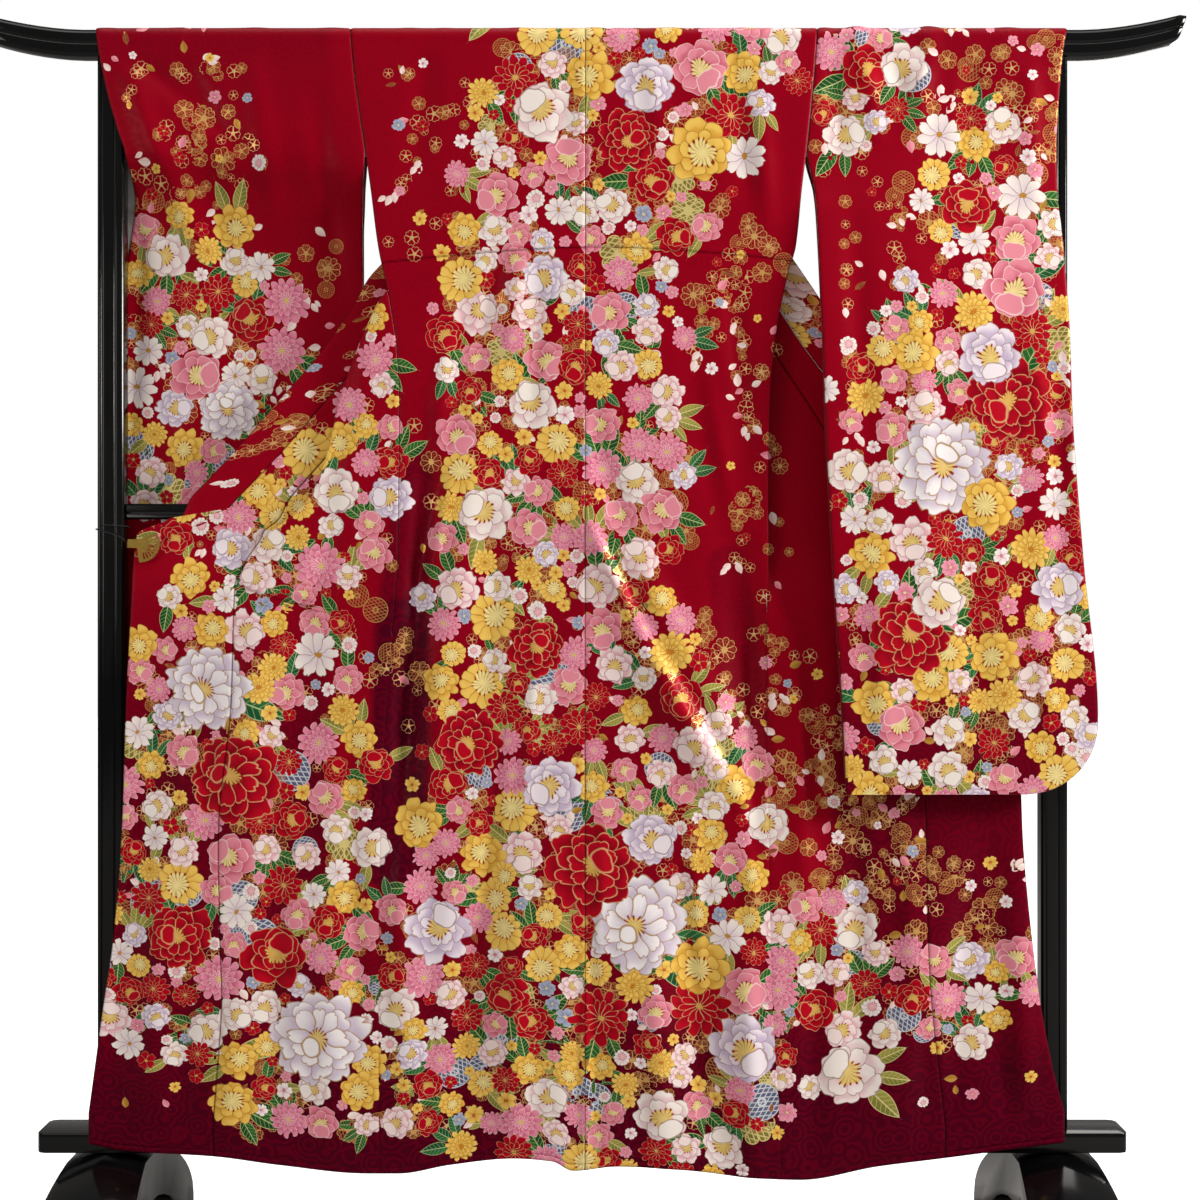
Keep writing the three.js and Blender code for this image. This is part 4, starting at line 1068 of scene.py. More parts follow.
class Motifs:
    """The three node groups that draw the print's motifs, each on its own unit circle."""

    def __init__(self) -> None:
        """Builds the groups."""
        self.flower = self._group("flower", self._flower)
        self.leaf = self._group("leaf", self._leaf)
        self.gold = self._group("gold", self._gold)

    @staticmethod
    def _group(name: str, draw: Callable) -> bpy.types.NodeTree:
        """A group with a place on the motif, and the ground's colour and gilding, coming in."""
        tree = bpy.data.node_groups.new(name, "ShaderNodeTree")
        for title, kind in (("Place", "Vector"), ("Colour", "Color"), ("Gilding", "Float")):
            tree.interface.new_socket(title, in_out="INPUT", socket_type=f"NodeSocket{kind}")
        for title, kind in (("Colour", "Color"), ("Gilding", "Float")):
            tree.interface.new_socket(title, in_out="OUTPUT", socket_type=f"NodeSocket{kind}")
        start, end = tree.nodes.new("NodeGroupInput"), tree.nodes.new("NodeGroupOutput")
        paint = Painter(tree)
        x, y, code = paint.split(start.outputs["Place"])
        gilding = Number(tree, start.outputs["Gilding"])
        colour, gilding = draw(paint, x, y, code, start.outputs["Colour"], gilding)
        tree.links.new(colour, end.inputs["Colour"])
        tree.links.new(gilding.socket, end.inputs["Gilding"])
        return tree

    @staticmethod
    def _flower(
        paint: Painter, x: Number, y: Number, code: Number, ground: object, gilding: Number
    ) -> tuple:
        """Rings of lapping petals, bent a little out of true, round a heart set aside."""
        kinds = list(FLOWERS.values())
        kind = code.op("FLOOR")
        own = code - kind
        place = (kind + 0.5) / len(kinds)
        tips, bases, lines, hearts = (
            paint.chart(place, [getattr(k, part) for k in kinds]).outputs[0]
            for part in ("tip", "base", "line", "heart")
        )
        form = paint.chart(place, [(k.petals / 20, k.middle, k.inner, k.notch) for k in kinds])
        petals, middle, inner = paint.split(form.outputs[0])
        notch = Number(paint.tree, form.outputs[1])
        centre = paint.chart(place, [(k.cup, k.dots, k.lap, k.fall) for k in kinds])
        cup, dots, lap = paint.split(centre.outputs[0])
        fall = Number(paint.tree, centre.outputs[1])
        turns = petals * (20 / math.tau)
        bend = paint.noise(paint.vector(x, y, own * 31.0), 1.9, 1.0)
        across, along, mottle = (part - 0.5 for part in paint.split(bend.outputs["Color"]))
        px, py = x + across * 0.34, y + along * 0.34
        aside = cup * 0.32

        def polar(dx: Number) -> tuple[Number, Number]:
            """Distance and angle round a centre on the x axis."""
            return (dx * dx + py * py).op("SQRT"), py.op("ARCTAN2", dx)

        def ring(
            colour: object, far: Number, angle: Number, radius: Number | float, turn: Number
        ) -> tuple:
            """Paints one ring of petals over a colour, each petal lapping over the next."""
            share = (angle * turns + turn).op("FRACT")
            beside = abs(share * 2.0 - 1.0)
            drop = beside**2.4 * fall + beside.between(0.22, 0.0) * notch
            edge = (1.0 - drop + mottle * 0.26) * radius
            inside = edge - far
            line = inside.op("MINIMUM", far * share / turns).between(0.04, 0.012)
            tone = (far / edge).between(0.12, 0.95) * 0.62 + share.between(0.0, 0.5) * 0.38
            tone = tone + mottle * 0.5
            painted = paint.mix(line, paint.mix(tone, bases, tips), lines)
            return paint.mix(inside.between(-0.006, 0.012), colour, painted), inside

        far, angle = polar(px)
        near, swing = polar(px + aside)
        colour, inside = ring(ground, far, angle, 1.0, own * 7.0)
        cover = inside.between(-0.006, 0.012)
        for radius, turn in ((middle, 0.47), (inner, 0.2)):
            shade = (near - radius).between(0.16, -0.05) * cover * 0.55
            colour, _ = ring(paint.mix(shade, colour, bases), near, swing, radius, own * 7.0 + turn)
        rim = ((swing * 5.0 + own * 40.0).op("SINE") * 0.07 + 1.0) * cup
        stamen = (swing * 15.0).op("COSINE")
        filament = stamen.between(0.0, 0.8) * (near / rim).between(0.1, 0.6)
        pistil = paint.mix(filament * 0.55, hearts, rgb(0xA8762C))
        colour = paint.mix((rim - near).between(-0.01, 0.02), colour, pistil)
        opened = swing.op("COSINE").between(-0.6, -0.2).op("MAXIMUM", 1.0 - lap)
        anther = stamen.between(0.2, 0.7) * abs(near - rim * 0.98).between(0.07, 0.035)
        colour = paint.mix(anther * opened * dots, colour, rgb(0x8F2B1C))
        lx = px + aside + cup * 1.15
        petal = cup * 0.98 - (lx * lx + py * py * 0.6).op("SQRT")
        edge = paint.mix(petal.between(0.05, 0.02), tips, lines)
        colour = paint.mix(petal.between(-0.01, 0.015) * lap, colour, edge)
        return colour, gilding * (1.0 - cover)

    @staticmethod
    def _leaf(
        paint: Painter, x: Number, y: Number, code: Number, ground: object, gilding: Number
    ) -> tuple:
        """A pointed leaf along x with a rib and veins, or a plain petal."""
        kinds = list(LEAVES.values())
        place = (code.op("FLOOR") + 0.5) / len(kinds)
        darks, lights, lines = (
            paint.chart(place, [getattr(k, part) for k in kinds]).outputs[0]
            for part in ("dark", "light", "line")
        )
        form = paint.chart(place, [(k.width, k.veins, k.gilt) for k in kinds])
        width, veins, gilt = paint.split(form.outputs[0])
        high = abs(y)
        bow = (1.0 - x * x).op("MAXIMUM", 0.0) ** 0.85
        inside = bow * width * (1.0 - x * 0.28) - high
        cover = inside.between(-0.008, 0.012)
        vein = abs(((x - high * 0.8) * 3.6).op("FRACT") - 0.5).between(0.09, 0.03)
        rib = high.between(0.035, 0.018)
        line = (vein * 0.6).op("MAXIMUM", rib) * veins
        line = line.op("MAXIMUM", inside.between(0.05, 0.02))
        tone = y.between(-0.25, 0.25) * 0.6 + (x * -0.2 + 0.2)
        colour = paint.mix(cover, ground, paint.mix(line, paint.mix(tone, darks, lights), lines))
        return colour, gilding * (1.0 - cover) + cover * gilt * (line * 0.6 + 0.4)

    @staticmethod
    def _gold(
        paint: Painter, x: Number, y: Number, code: Number, ground: object, gilding: Number
    ) -> tuple:
        """A blossom or ball in gold line, open or filled with a net."""
        kinds = list(GILTS.values())
        place = (code.op("FLOOR") + 0.5) / len(kinds)
        form = paint.chart(place, [(k.petals / 20, k.net, k.fill, k.notch) for k in kinds])
        petals, net, fill = paint.split(form.outputs[0])
        notch = Number(paint.tree, form.outputs[1])
        drawn_in = paint.chart(place, [(*k.line, k.metal) for k in kinds])
        fillings = paint.chart(place, [k.filling for k in kinds]).outputs[0]
        metal = Number(paint.tree, drawn_in.outputs[1])
        far = (x * x + y * y).op("SQRT")
        angle = y.op("ARCTAN2", x)
        lobe = abs((angle * (petals * 10.0) + code * 40.0).op("COSINE"))
        whole = petals.op("LESS_THAN", 0.01)
        lobe = lobe.op("MAXIMUM", whole)
        inside = lobe**0.5 * 0.26 + 0.74 - lobe**26.0 * notch - far
        cover = inside.between(-0.01, 0.015)
        line = inside.op("MINIMUM", (far * lobe + whole) * 0.4).between(0.085, 0.04)
        weft = abs(((x + y * 0.55) * 3.6).op("FRACT") - 0.5)
        warp = abs(((x - y * 0.55) * 3.6).op("FRACT") - 0.5)
        lattice = weft.op("MAXIMUM", warp).between(0.34, 0.43) * net
        centre = abs(far - 0.2).between(0.07, 0.04)
        traced = line.op("MAXIMUM", lattice).op("MAXIMUM", centre)
        drawn = traced.op("MAXIMUM", fill) * cover
        shade = paint.mix(traced, fillings, drawn_in.outputs[0])
        gilding = (gilding * (1.0 - drawn)).op("MAXIMUM", drawn * metal)
        return paint.mix(drawn, ground, shade), gilding


class SilkFinishes:
    """The silk's materials: plain, with one, two or more motifs at a place, and the lining."""

    def __init__(self) -> None:
        """Builds the materials, in the order of the meshes' slots."""
        motifs = Motifs()
        one = {layer: 1 for layer in Layer}
        self.all = [
            self._silk("silk_plain", motifs, {}),
            self._silk("silk_light_print", motifs, one),
            self._silk("silk_middle_print", motifs, {**one, Layer.FLOWER: 2}),
            self._silk("silk_full_print", motifs, {layer: layer.stack for layer in Layer}),
            self._lining(),
        ]

    def _silk(self, name: str, motifs: Motifs, stacks: dict[Layer, int]) -> bpy.types.Material:
        """Crimson figured satin, dyed to wine where the garment is, with its print on it; painted
        shade darkens its seams and fold troughs, and a painted sheen lightens its figure.
        """
        material, paint, shader = new_material(name)
        tree = material.node_tree
        cloth = paint.attribute("cloth").outputs["Vector"]
        dye_and_trough_shade, seam = paint.factor("dye_and_trough_shade"), paint.factor("seam")
        cloud = paint.cloud(cloth, 7.0, 3.0)
        # the wine also holds painted shade along the fold troughs
        shade = (dye_and_trough_shade + (cloud - 0.5) * 0.22).op("ADD", 0.0, clamp=True)
        colour = paint.mix(shade, rgb(0x930119), rgb(0x4C0018))
        figure = self._figure(paint, cloth)
        # painted sheen: the woven figure shows as lighter crimson in the colour, besides its lower
        # roughness
        colour = paint.mix(figure * 0.10, colour, rgb(0xB40C26))
        gilding = figure * 0.0
        groups = {Layer.GOLD: motifs.gold, Layer.LEAF: motifs.leaf, Layer.FLOWER: motifs.flower}
        for layer, group in groups.items():
            for depth in reversed(range(stacks.get(layer, 0))):
                node = tree.nodes.new("ShaderNodeGroup")
                node.node_tree = group
                place = paint.attribute(f"{layer.word}_{depth}").outputs["Vector"]
                tree.links.new(place, node.inputs["Place"])
                tree.links.new(colour, node.inputs["Colour"])
                tree.links.new(gilding.socket, node.inputs["Gilding"])
                colour, gilding = node.outputs["Colour"], Number(tree, node.outputs["Gilding"])
        # painted shade: the seams' grooves are darkened in the colour as well as sunk by the bump
        seam_groove_and_shade = seam.between(1.6, 0.0)
        colour = paint.mix(seam_groove_and_shade * 0.7, colour, rgb(0x2A0009))
        tree.links.new(colour, shader.inputs["Base Color"])
        tree.links.new((gilding * 0.9).socket, shader.inputs["Metallic"])
        rough = 0.4 - figure * 0.08 - gilding * 0.1
        tree.links.new(rough.socket, shader.inputs["Roughness"])
        shader.inputs["Specular IOR Level"].default_value = 0.5
        tree.links.new(paint.mix(0.06, colour, rgb(WHITE)), shader.inputs["Specular Tint"])
        wrinkle = paint.cloud(cloth, 26.0, 4.0) * 0.5 + paint.cloud(cloth, 9.0, 2.0) * 1.6
        height = wrinkle * 0.9 + figure * 0.05 - seam_groove_and_shade * 0.5
        paint.bump(shader, height, 0.5, 0.0016)
        return material

    def _lining(self) -> bpy.types.Material:
        """Plain white lining silk, wine-dyed low down, with painted shadow lines along its seams.
        """
        material, paint, shader = new_material("silk_lining")
        tree = material.node_tree
        cloth = paint.attribute("cloth").outputs["Vector"]
        cloud = paint.cloud(cloth, 12.0, 3.0)
        white = paint.mix(cloud, rgb(0xEDE7E2), rgb(0xFBF8F4))
        wine = paint.mix(cloud, rgb(0x6C0824), rgb(0x800C2C))
        turned_in = paint.factor("edge").between(7.0, 5.0)
        sewn = paint.factor("seam").between(1.6, 0.2)
        colour = paint.mix(paint.factor("dye_and_trough_shade"), white, wine)
        # painted shadow: a grey-brown line along each seam
        colour = paint.mix(sewn * 0.35, colour, rgb(0x6A5A56))
        colour = paint.mix(turned_in, colour, rgb(0x8C021A))
        tree.links.new(colour, shader.inputs["Base Color"])
        shader.inputs["Roughness"].default_value = 0.55
        shader.inputs["Sheen Weight"].default_value = 0.1
        paint.bump(shader, paint.cloud(cloth, 30.0, 3.0), 0.4, 0.001)
        return material

    @staticmethod
    def _figure(paint: Painter, place: bpy.types.NodeSocket) -> Number:
        """The woven figure of the satin: small rosettes scattered in a damask ground."""
        node = paint.tree.nodes.new("ShaderNodeTexVoronoi")
        node.inputs["Scale"].default_value = 34.0
        paint.tree.links.new(place, node.inputs["Vector"])
        far = Number(paint.tree, node.outputs["Distance"])
        return (far * 26.0).op("SINE").between(-0.3, 0.5)


# ---------------------------------------------------------------- where the print's motifs lie


class Flow:
    """How densely flowers stand over a panel, from a table of tapering strips."""

    def __init__(self, rows: list[tuple[float, ...]]) -> None:
        """Keeps the rows: x0, z0, x1, z1, half width at each end, density."""
        self.rows = rows

    def density(self, x: Array, z: Array) -> Array:
        """The density at places on the flat cloth: 1 is full, and less fades out at the edges."""
        best = np.zeros_like(x, dtype=float)
        for *line, half0, half1, weight in self.rows:
            held, away = near_line(x, z, line)
            away = away / mix(half0, half1, held)
            best = np.maximum(best, weight * ease(1.3, 0.85, away))
        return best


# where the cloth is dyed darker wine along the folds of the skirt, with painted shade darkening the
# fold troughs
WINE_AND_TROUGH_SHADE = Flow([
    (-236, 1120, -254, 900, 24, 36, 0.6), (-254, 900, -262, 560, 36, 42, 0.95),
    (205, 980, 236, 700, 26, 34, 0.35), (-470, 620, -600, 420, 60, 80, 0.3),
])  # fmt: skip


@dataclass
class Scatter:
    """Strews motifs over one stretch of flat cloth.

    Args:
        flowers: where the flowers stand.
        haze: where gold figures and loose petals lie between and beyond them.
        large: large flowers, placed one by one: x, z, radius, kind.
        sprays: trailing sprays of gold blossoms, placed one by one: x and z at both ends.
        bounds: lowest x and z, highest x and z.
        seed: start of the random draws.
    """

    flowers: Flow
    haze: Flow
    large: list[tuple[float, float, float, str]]
    sprays: list[tuple[float, float, float, float]]
    bounds: tuple[float, float, float, float]
    seed: int

    MEDIUM = ("white_camellia", "yellow_camellia", "pink_camellia", "blush_camellia",
              "red_camellia", "lavender_camellia", "yellow_camellia", "pink_chrysanthemum",
              "yellow_chrysanthemum", "white_camellia", "red_camellia", "red_chrysanthemum",
              "pink_camellia", "white_daisy", "blush_camellia", "pink_camellia",
              "pink_chrysanthemum", "yellow_rosette")  # fmt: skip
    SMALL = ("white_cherry", "pink_cherry", "yellow_cherry", "white_rosette", "slate_cherry",
             "red_cherry", "pink_cherry", "yellow_cherry", "red_cherry")  # fmt: skip
    GREENS = ("green_leaf", "green_leaf", "olive_leaf", "deep_leaf", "olive_leaf")
    NETS = ("net_cherry", "net_ball", "rosette", "net_cherry")
    LINES = ("line_cherry", "line_cherry", "net_cherry")
    PETALS = ("gold_petal", "pale_petal", "pale_petal", "pink_petal", "gold_leaf")

    def lay(self) -> Print:
        """Draws every motif.

        Returns:
            The print, with large flowers above small ones.
        """
        rng = np.random.default_rng(self.seed)
        placed: list[list[float]] = []
        for x, z, radius, name in self.large:
            angle = rng.uniform(0, TURN)
            placed.append([x, z, radius, angle, FLOWER_NAMES.index(name), rng.random()])
        self._throw(rng, placed, self.flowers, 3600, (18, 36), self.MEDIUM, 0.78)
        medium = len(placed)
        self._throw(rng, placed, self.flowers, 3400, (8, 15), self.SMALL, 0.84)
        self._throw(rng, placed, self.haze, 460, (6, 11), self.SMALL, 1.7, 0.3)
        leaves = self._leaves(rng, placed[:medium])
        leaves += self._petals(rng)
        gold: list[list[float]] = []
        self._gild(rng, gold)
        self._hang(rng, gold, leaves)
        large = len(self.large)
        flowers = placed[medium:] + placed[large:medium] + placed[:large]
        return Print(
            {
                Layer.FLOWER: np.array(flowers),
                Layer.LEAF: np.array(leaves),
                Layer.GOLD: np.array(gold),
            }
        )

    def _places(self, rng: np.random.Generator, tries: int) -> tuple[Array, Array]:
        """Random places inside the bounds, so many for each square metre."""
        x0, z0, x1, z1 = self.bounds
        count = int(tries * ((x1 - x0) * (z1 - z0) / 1e6))
        return rng.uniform(x0, x1, count), rng.uniform(z0, z1, count)

    @staticmethod
    def _pick(rng: np.random.Generator, names: tuple[str, ...]) -> str:
        """One of the names."""
        return names[int(rng.integers(0, len(names)))]

    def _throw(
        self,
        rng: np.random.Generator,
        placed: list[list[float]],
        flow: Flow,
        tries: int,
        sizes: tuple[float, float],
        names: tuple[str, ...],
        apart: float,
        floor: float = 0.0,
    ) -> None:
        """Adds flowers where the flow wants them and none stands too near.

        Args:
            rng: the random draws.
            placed: the flowers so far, which grow.
            flow: the density to follow.
            tries: how many places to try on a square metre.
            sizes: smallest and largest radius.
            names: the kinds to choose from.
            apart: least distance between two, as a share of both radii.
            floor: how much of the density counts even where it is low.
        """
        xs, zs = self._places(rng, tries)
        wanted = flow.density(xs, zs)
        draws, kinds = rng.random((len(xs), 4)), rng.integers(0, len(names), len(xs))
        held = np.array([p[:3] for p in placed]).reshape(-1, 3)
        for x, z, want, draw, kind in zip(xs, zs, wanted, draws, kinds):
            if want < 0.04 or draw[0] > want**1.5 + floor * want:
                continue
            radius = mix(*sizes, draw[1] ** 1.4)
            away = np.hypot(held[:, 0] - x, held[:, 1] - z)
            if (away < apart * (held[:, 2] + radius)).any():
                continue
            held = np.vstack([held, (x, z, radius)])
            placed.append([x, z, radius, draw[2] * TURN, FLOWER_NAMES.index(names[kind]), draw[3]])

    def _leaves(self, rng: np.random.Generator, flowers: list[list[float]]) -> list[list[float]]:
        """Two or three leaves in a fan beside most flowers."""
        leaves = []
        for x, z, radius, *_ in flowers:
            fan = rng.uniform(0, TURN)
            count = int(rng.integers(1, 4)) if rng.random() < 0.6 else 0
            name = self._pick(rng, self.GREENS)
            for i in range(count):
                angle = fan + (i - count / 2) * 0.62
                size = rng.uniform(17, 26) * (radius / 30) ** 0.5
                far = radius * 0.86 + size * 0.8
                place = (x + far * math.cos(angle), z + far * math.sin(angle))
                leaves.append([*place, size, angle, LEAF_NAMES.index(name), rng.random()])
        return leaves

    def _petals(self, rng: np.random.Generator) -> list[list[float]]:
        """Loose petals drifting out of the flowers."""
        xs, zs = self._places(rng, 900)
        wanted = np.maximum(self.haze.density(xs, zs), 0.5 * self.flowers.density(xs, zs))
        petals = []
        for x, z, want in zip(xs, zs, wanted):
            if rng.random() < want * 0.6:
                kind = LEAF_NAMES.index(self._pick(rng, self.PETALS))
                petals.append([x, z, rng.uniform(6, 10), rng.uniform(0, TURN), kind, rng.random()])
        return petals

    def _gild(self, rng: np.random.Generator, gold: list[list[float]]) -> None:
        """Gold blossoms and nets, in loose groups."""
        xs, zs = self._places(rng, 460)
        dense = self.flowers.density(xs, zs)
        wanted = np.maximum(self.haze.density(xs, zs), 0.8 * dense)
        for x, z, want, full in zip(xs, zs, wanted, dense):
            if rng.random() > want:
                continue
            drawn = rng.random()
            if full > 0.6 and drawn < 0.16:
                kind = GILT_NAMES.index("slate_net" if rng.random() < 0.6 else "olive_net")
                gold.append([x, z, rng.uniform(16, 30), rng.uniform(0, TURN), kind, rng.random()])
                continue
            net = drawn < 0.55
            for _ in range(int(rng.integers(2, 6))):
                kind = GILT_NAMES.index(self._pick(rng, self.NETS if net else self.LINES))
                radius = rng.uniform(10, 19) if net else rng.uniform(7, 12)
                place = (x + rng.normal(0, 20), z + rng.normal(0, 20))
                gold.append([*place, radius, rng.uniform(0, TURN), kind, rng.random()])

    def _hang(
        self, rng: np.random.Generator, gold: list[list[float]], leaves: list[list[float]]
    ) -> None:
        """Trailing sprays: small gold blossoms along a line, with buds at its end."""
        for x0, z0, x1, z1 in self.sprays:
            way = math.atan2(z1 - z0, x1 - x0)
            count = max(int(math.hypot(x1 - x0, z1 - z0) / 15), 3)
            for i in range(count):
                t = (i + rng.uniform(-0.3, 0.3)) / (count - 1)
                x = mix(x0, x1, t) + rng.normal(0, 7 * (1 - 0.5 * t))
                z = mix(z0, z1, t) + rng.normal(0, 7)
                kind = GILT_NAMES.index("line_cherry" if rng.random() < 0.6 else "net_cherry")
                radius = rng.uniform(7, 13) * (1 - 0.3 * t)
                gold.append([x, z, radius, rng.uniform(0, TURN), kind, rng.random()])
            for _ in range(4):
                turn = way + rng.uniform(-0.7, 0.7)
                reach = rng.uniform(8, 24)
                place = (x1 + reach * math.cos(turn), z1 + reach * math.sin(turn))
                kind = LEAF_NAMES.index("pale_petal")
                leaves.append([*place, rng.uniform(6, 9), turn, kind, rng.random()])


SHOULDER = BAR_EDGE * 2 + BAR_ARC  # on the upper fronts, the print's height counts down from here
BODY_PRINT = Scatter(
    flowers=Flow([
        (152, 1713, 81, 1625, 130, 159, 1.0), (13, 1583, -18, 1448, 159, 153, 1.0),
        (-32, 1410, -43, 931, 147, 153, 1.0), (-35, 903, 4, 648, 159, 198, 1.0),
        (11, 605, 25, 322, 227, 249, 1.0), (-641, 386, -32, 315, 82, 113, 1.0),
        (-485, 251, -32, 258, 64, 99, 0.9), (294, 414, 535, 350, 74, 60, 0.95),
        (535, 365, 620, 400, 43, 37, 0.8), (-298, 1331, -312, 1030, 31, 43, 1.0),
        (-464, 967, -478, 648, 130, 159, 1.0), (-485, 648, -485, 393, 167, 164, 1.0),
        (-358, 1158, -521, 1030, 23, 31, 0.6), (329, 499, 379, 520, 31, 37, 0.6),
        (130, 1850, 112, 2020, 78, 70, 0.9), (-130, 1850, -130, 2020, 78, 70, 0.8),
    ]),  # fmt: skip
    haze=Flow([
        (-219, 1632, -188, 1462, 64, 57, 0.7), (216, 1410, 226, 1186, 48, 40, 0.7),
        (230, 1144, 223, 903, 48, 48, 0.45), (273, 804, 358, 705, 60, 71, 0.8),
        (308, 634, 450, 520, 85, 85, 0.8), (535, 506, 634, 520, 71, 57, 0.5),
        (-641, 223, 634, 230, 28, 28, 0.35), (-365, 1151, -549, 1016, 48, 57, 0.8),
        (-259, 903, -266, 563, 17, 20, 0.25), (160, 1900, -160, 1900, 160, 160, 0.4),
    ]),  # fmt: skip
    large=[
        (79, 475, 71, "white_peony"), (13, 552, 65, "red_peony"), (-369, 311, 71, "white_peony"),
        (-528, 807, 62, "white_peony"), (-488, 679, 65, "red_peony"),
        (226, 299, 51, "lavender_camellia"), (-205, 464, 48, "lavender_camellia"),
        (-159, 730, 48, "red_peony"), (-66, 863, 43, "red_peony"),
        (166, 353, 45, "red_chrysanthemum"), (-567, 457, 48, "red_peony"),
        (64, 1583, 45, "red_peony"), (166, 1569, 47, "yellow_camellia"),
        (90, 1662, 43, "lavender_camellia"), (-55, 1623, 44, "white_camellia"),
        (25, 339, 43, "red_chrysanthemum"), (-43, 668, 43, "lavender_camellia"),
        (96, 594, 38, "lavender_camellia"), (-434, 428, 47, "red_camellia"),
        (379, 258, 47, "white_camellia"), (11, 1676, 37, "yellow_camellia"),
        (166, 1688, 40, "pink_camellia"), (-137, 1053, 40, "white_camellia"),
        (110, 195, 40, "white_camellia"), (166, 414, 43, "yellow_camellia"),
    ],
    sprays=[
        (216, 1410, 234, 1186), (183, 1356, 166, 1283), (240, 1115, 216, 988),
        (-216, 1625, -266, 1512), (-159, 1654, -230, 1555), (393, 594, 457, 648),
        (570, 499, 606, 549), (-454, 1073, -535, 1009), (308, 790, 379, 705),
        (251, 903, 273, 804), (-400, 1115, -471, 1045), (166, 875, 230, 761),
    ],
    bounds=(-740, 110, 740, 2140),
    seed=11,
)
SLEEVE_PRINTS = {
    Side.LEFT: Scatter(
        flowers=Flow([
            (-613, 1477, -559, 1356, 40, 94, 1.0), (-535, 1314, -563, 1158, 108, 91, 1.0),
            (-591, 1115, -587, 1080, 57, 45, 1.0), (-500, 2150, -500, 2835, 150, 170, 1.0),
        ]),  # fmt: skip
        haze=Flow([
            (-599, 1696, -542, 1583, 71, 99, 0.45), (-528, 1526, -429, 1455, 85, 71, 0.5),
            (-414, 1356, -400, 1215, 50, 57, 0.5), (-584, 1547, -599, 1491, 51, 43, 0.9),
        ]),  # fmt: skip
        large=[
            (-511, 1203, 45, "white_peony"), (-559, 1254, 38, "pink_camellia"),
            (-599, 1427, 33, "white_camellia"), (-502, 1467, 31, "yellow_camellia"),
            (-535, 1311, 31, "white_camellia"), (-500, 2600, 60, "white_peony"),
        ],
        sprays=[
            (-591, 1668, -542, 1696), (-492, 1569, -521, 1498), (-446, 1427, -400, 1370),
            (-471, 1314, -436, 1243), (-627, 1356, -613, 1271),
        ],
        bounds=(-740, 640, -290, 2870),
        seed=5,
    ),
    Side.RIGHT: Scatter(
        flowers=Flow([
            (421, 1703, 382, 1600, 60, 43, 1.0), (570, 1576, 577, 1356, 65, 96, 1.0),
            (556, 1300, 528, 1215, 120, 153, 1.0), (528, 1186, 542, 733, 159, 159, 1.0),
            (500, 2150, 500, 2835, 150, 170, 1.0),
        ]),  # fmt: skip
        haze=Flow([
            (577, 1703, 641, 1611, 71, 57, 0.9), (457, 1491, 436, 1314, 51, 64, 0.6),
            (485, 1647, 521, 1512, 43, 57, 0.5), (379, 1314, 386, 1215, 28, 35, 0.6),
        ]),  # fmt: skip
        large=[
            (504, 1118, 71, "white_peony"), (597, 1212, 60, "red_peony"),
            (457, 880, 57, "red_peony"), (608, 1370, 43, "pink_camellia"),
            (543, 1487, 38, "red_camellia"), (404, 1685, 38, "red_camellia"),
            (457, 1688, 35, "white_camellia"), (570, 1274, 45, "lavender_camellia"),
            (665, 948, 37, "lavender_camellia"), (498, 926, 38, "white_camellia"),
            (569, 1064, 40, "yellow_camellia"), (372, 1590, 31, "white_camellia"),
            (520, 2600, 60, "white_peony"),
        ],
        sprays=[
            (376, 1477, 372, 1356), (410, 1540, 450, 1477), (606, 1682, 535, 1647),
            (450, 1427, 421, 1314), (492, 1413, 457, 1455), (372, 1283, 379, 1172),
        ],
        bounds=(290, 640, 740, 2870),
        seed=23,
    ),
}
COLLAR_PRINT = Scatter(
    flowers=Flow([(25, 760, 25, 980, 60, 60, 0.8), (25, 1250, 25, 1450, 60, 60, 0.8)]),
    haze=Flow([(25, 100, 25, 500, 60, 60, 0.6), (25, 1700, 25, 2100, 60, 60, 0.6)]),
    large=[],
    sprays=[],
    bounds=(-30, -30, 100, 2300),
    seed=3,
)


# ---------------------------------------------------------------- the cut pieces


HEM_ROWS = np.array([130.5, 127, 125.2, 124, 122.8, 120, 117, HEM_LOWEST])


def hem_distance(z: Array) -> Array:
    """Distance from a row to the hem's edge, or to the line of stitches just above it."""
    return np.minimum(np.abs(z - HEM_LOWEST) + 0.2, np.abs(z - HEM_ROWS[3]) + 0.8)


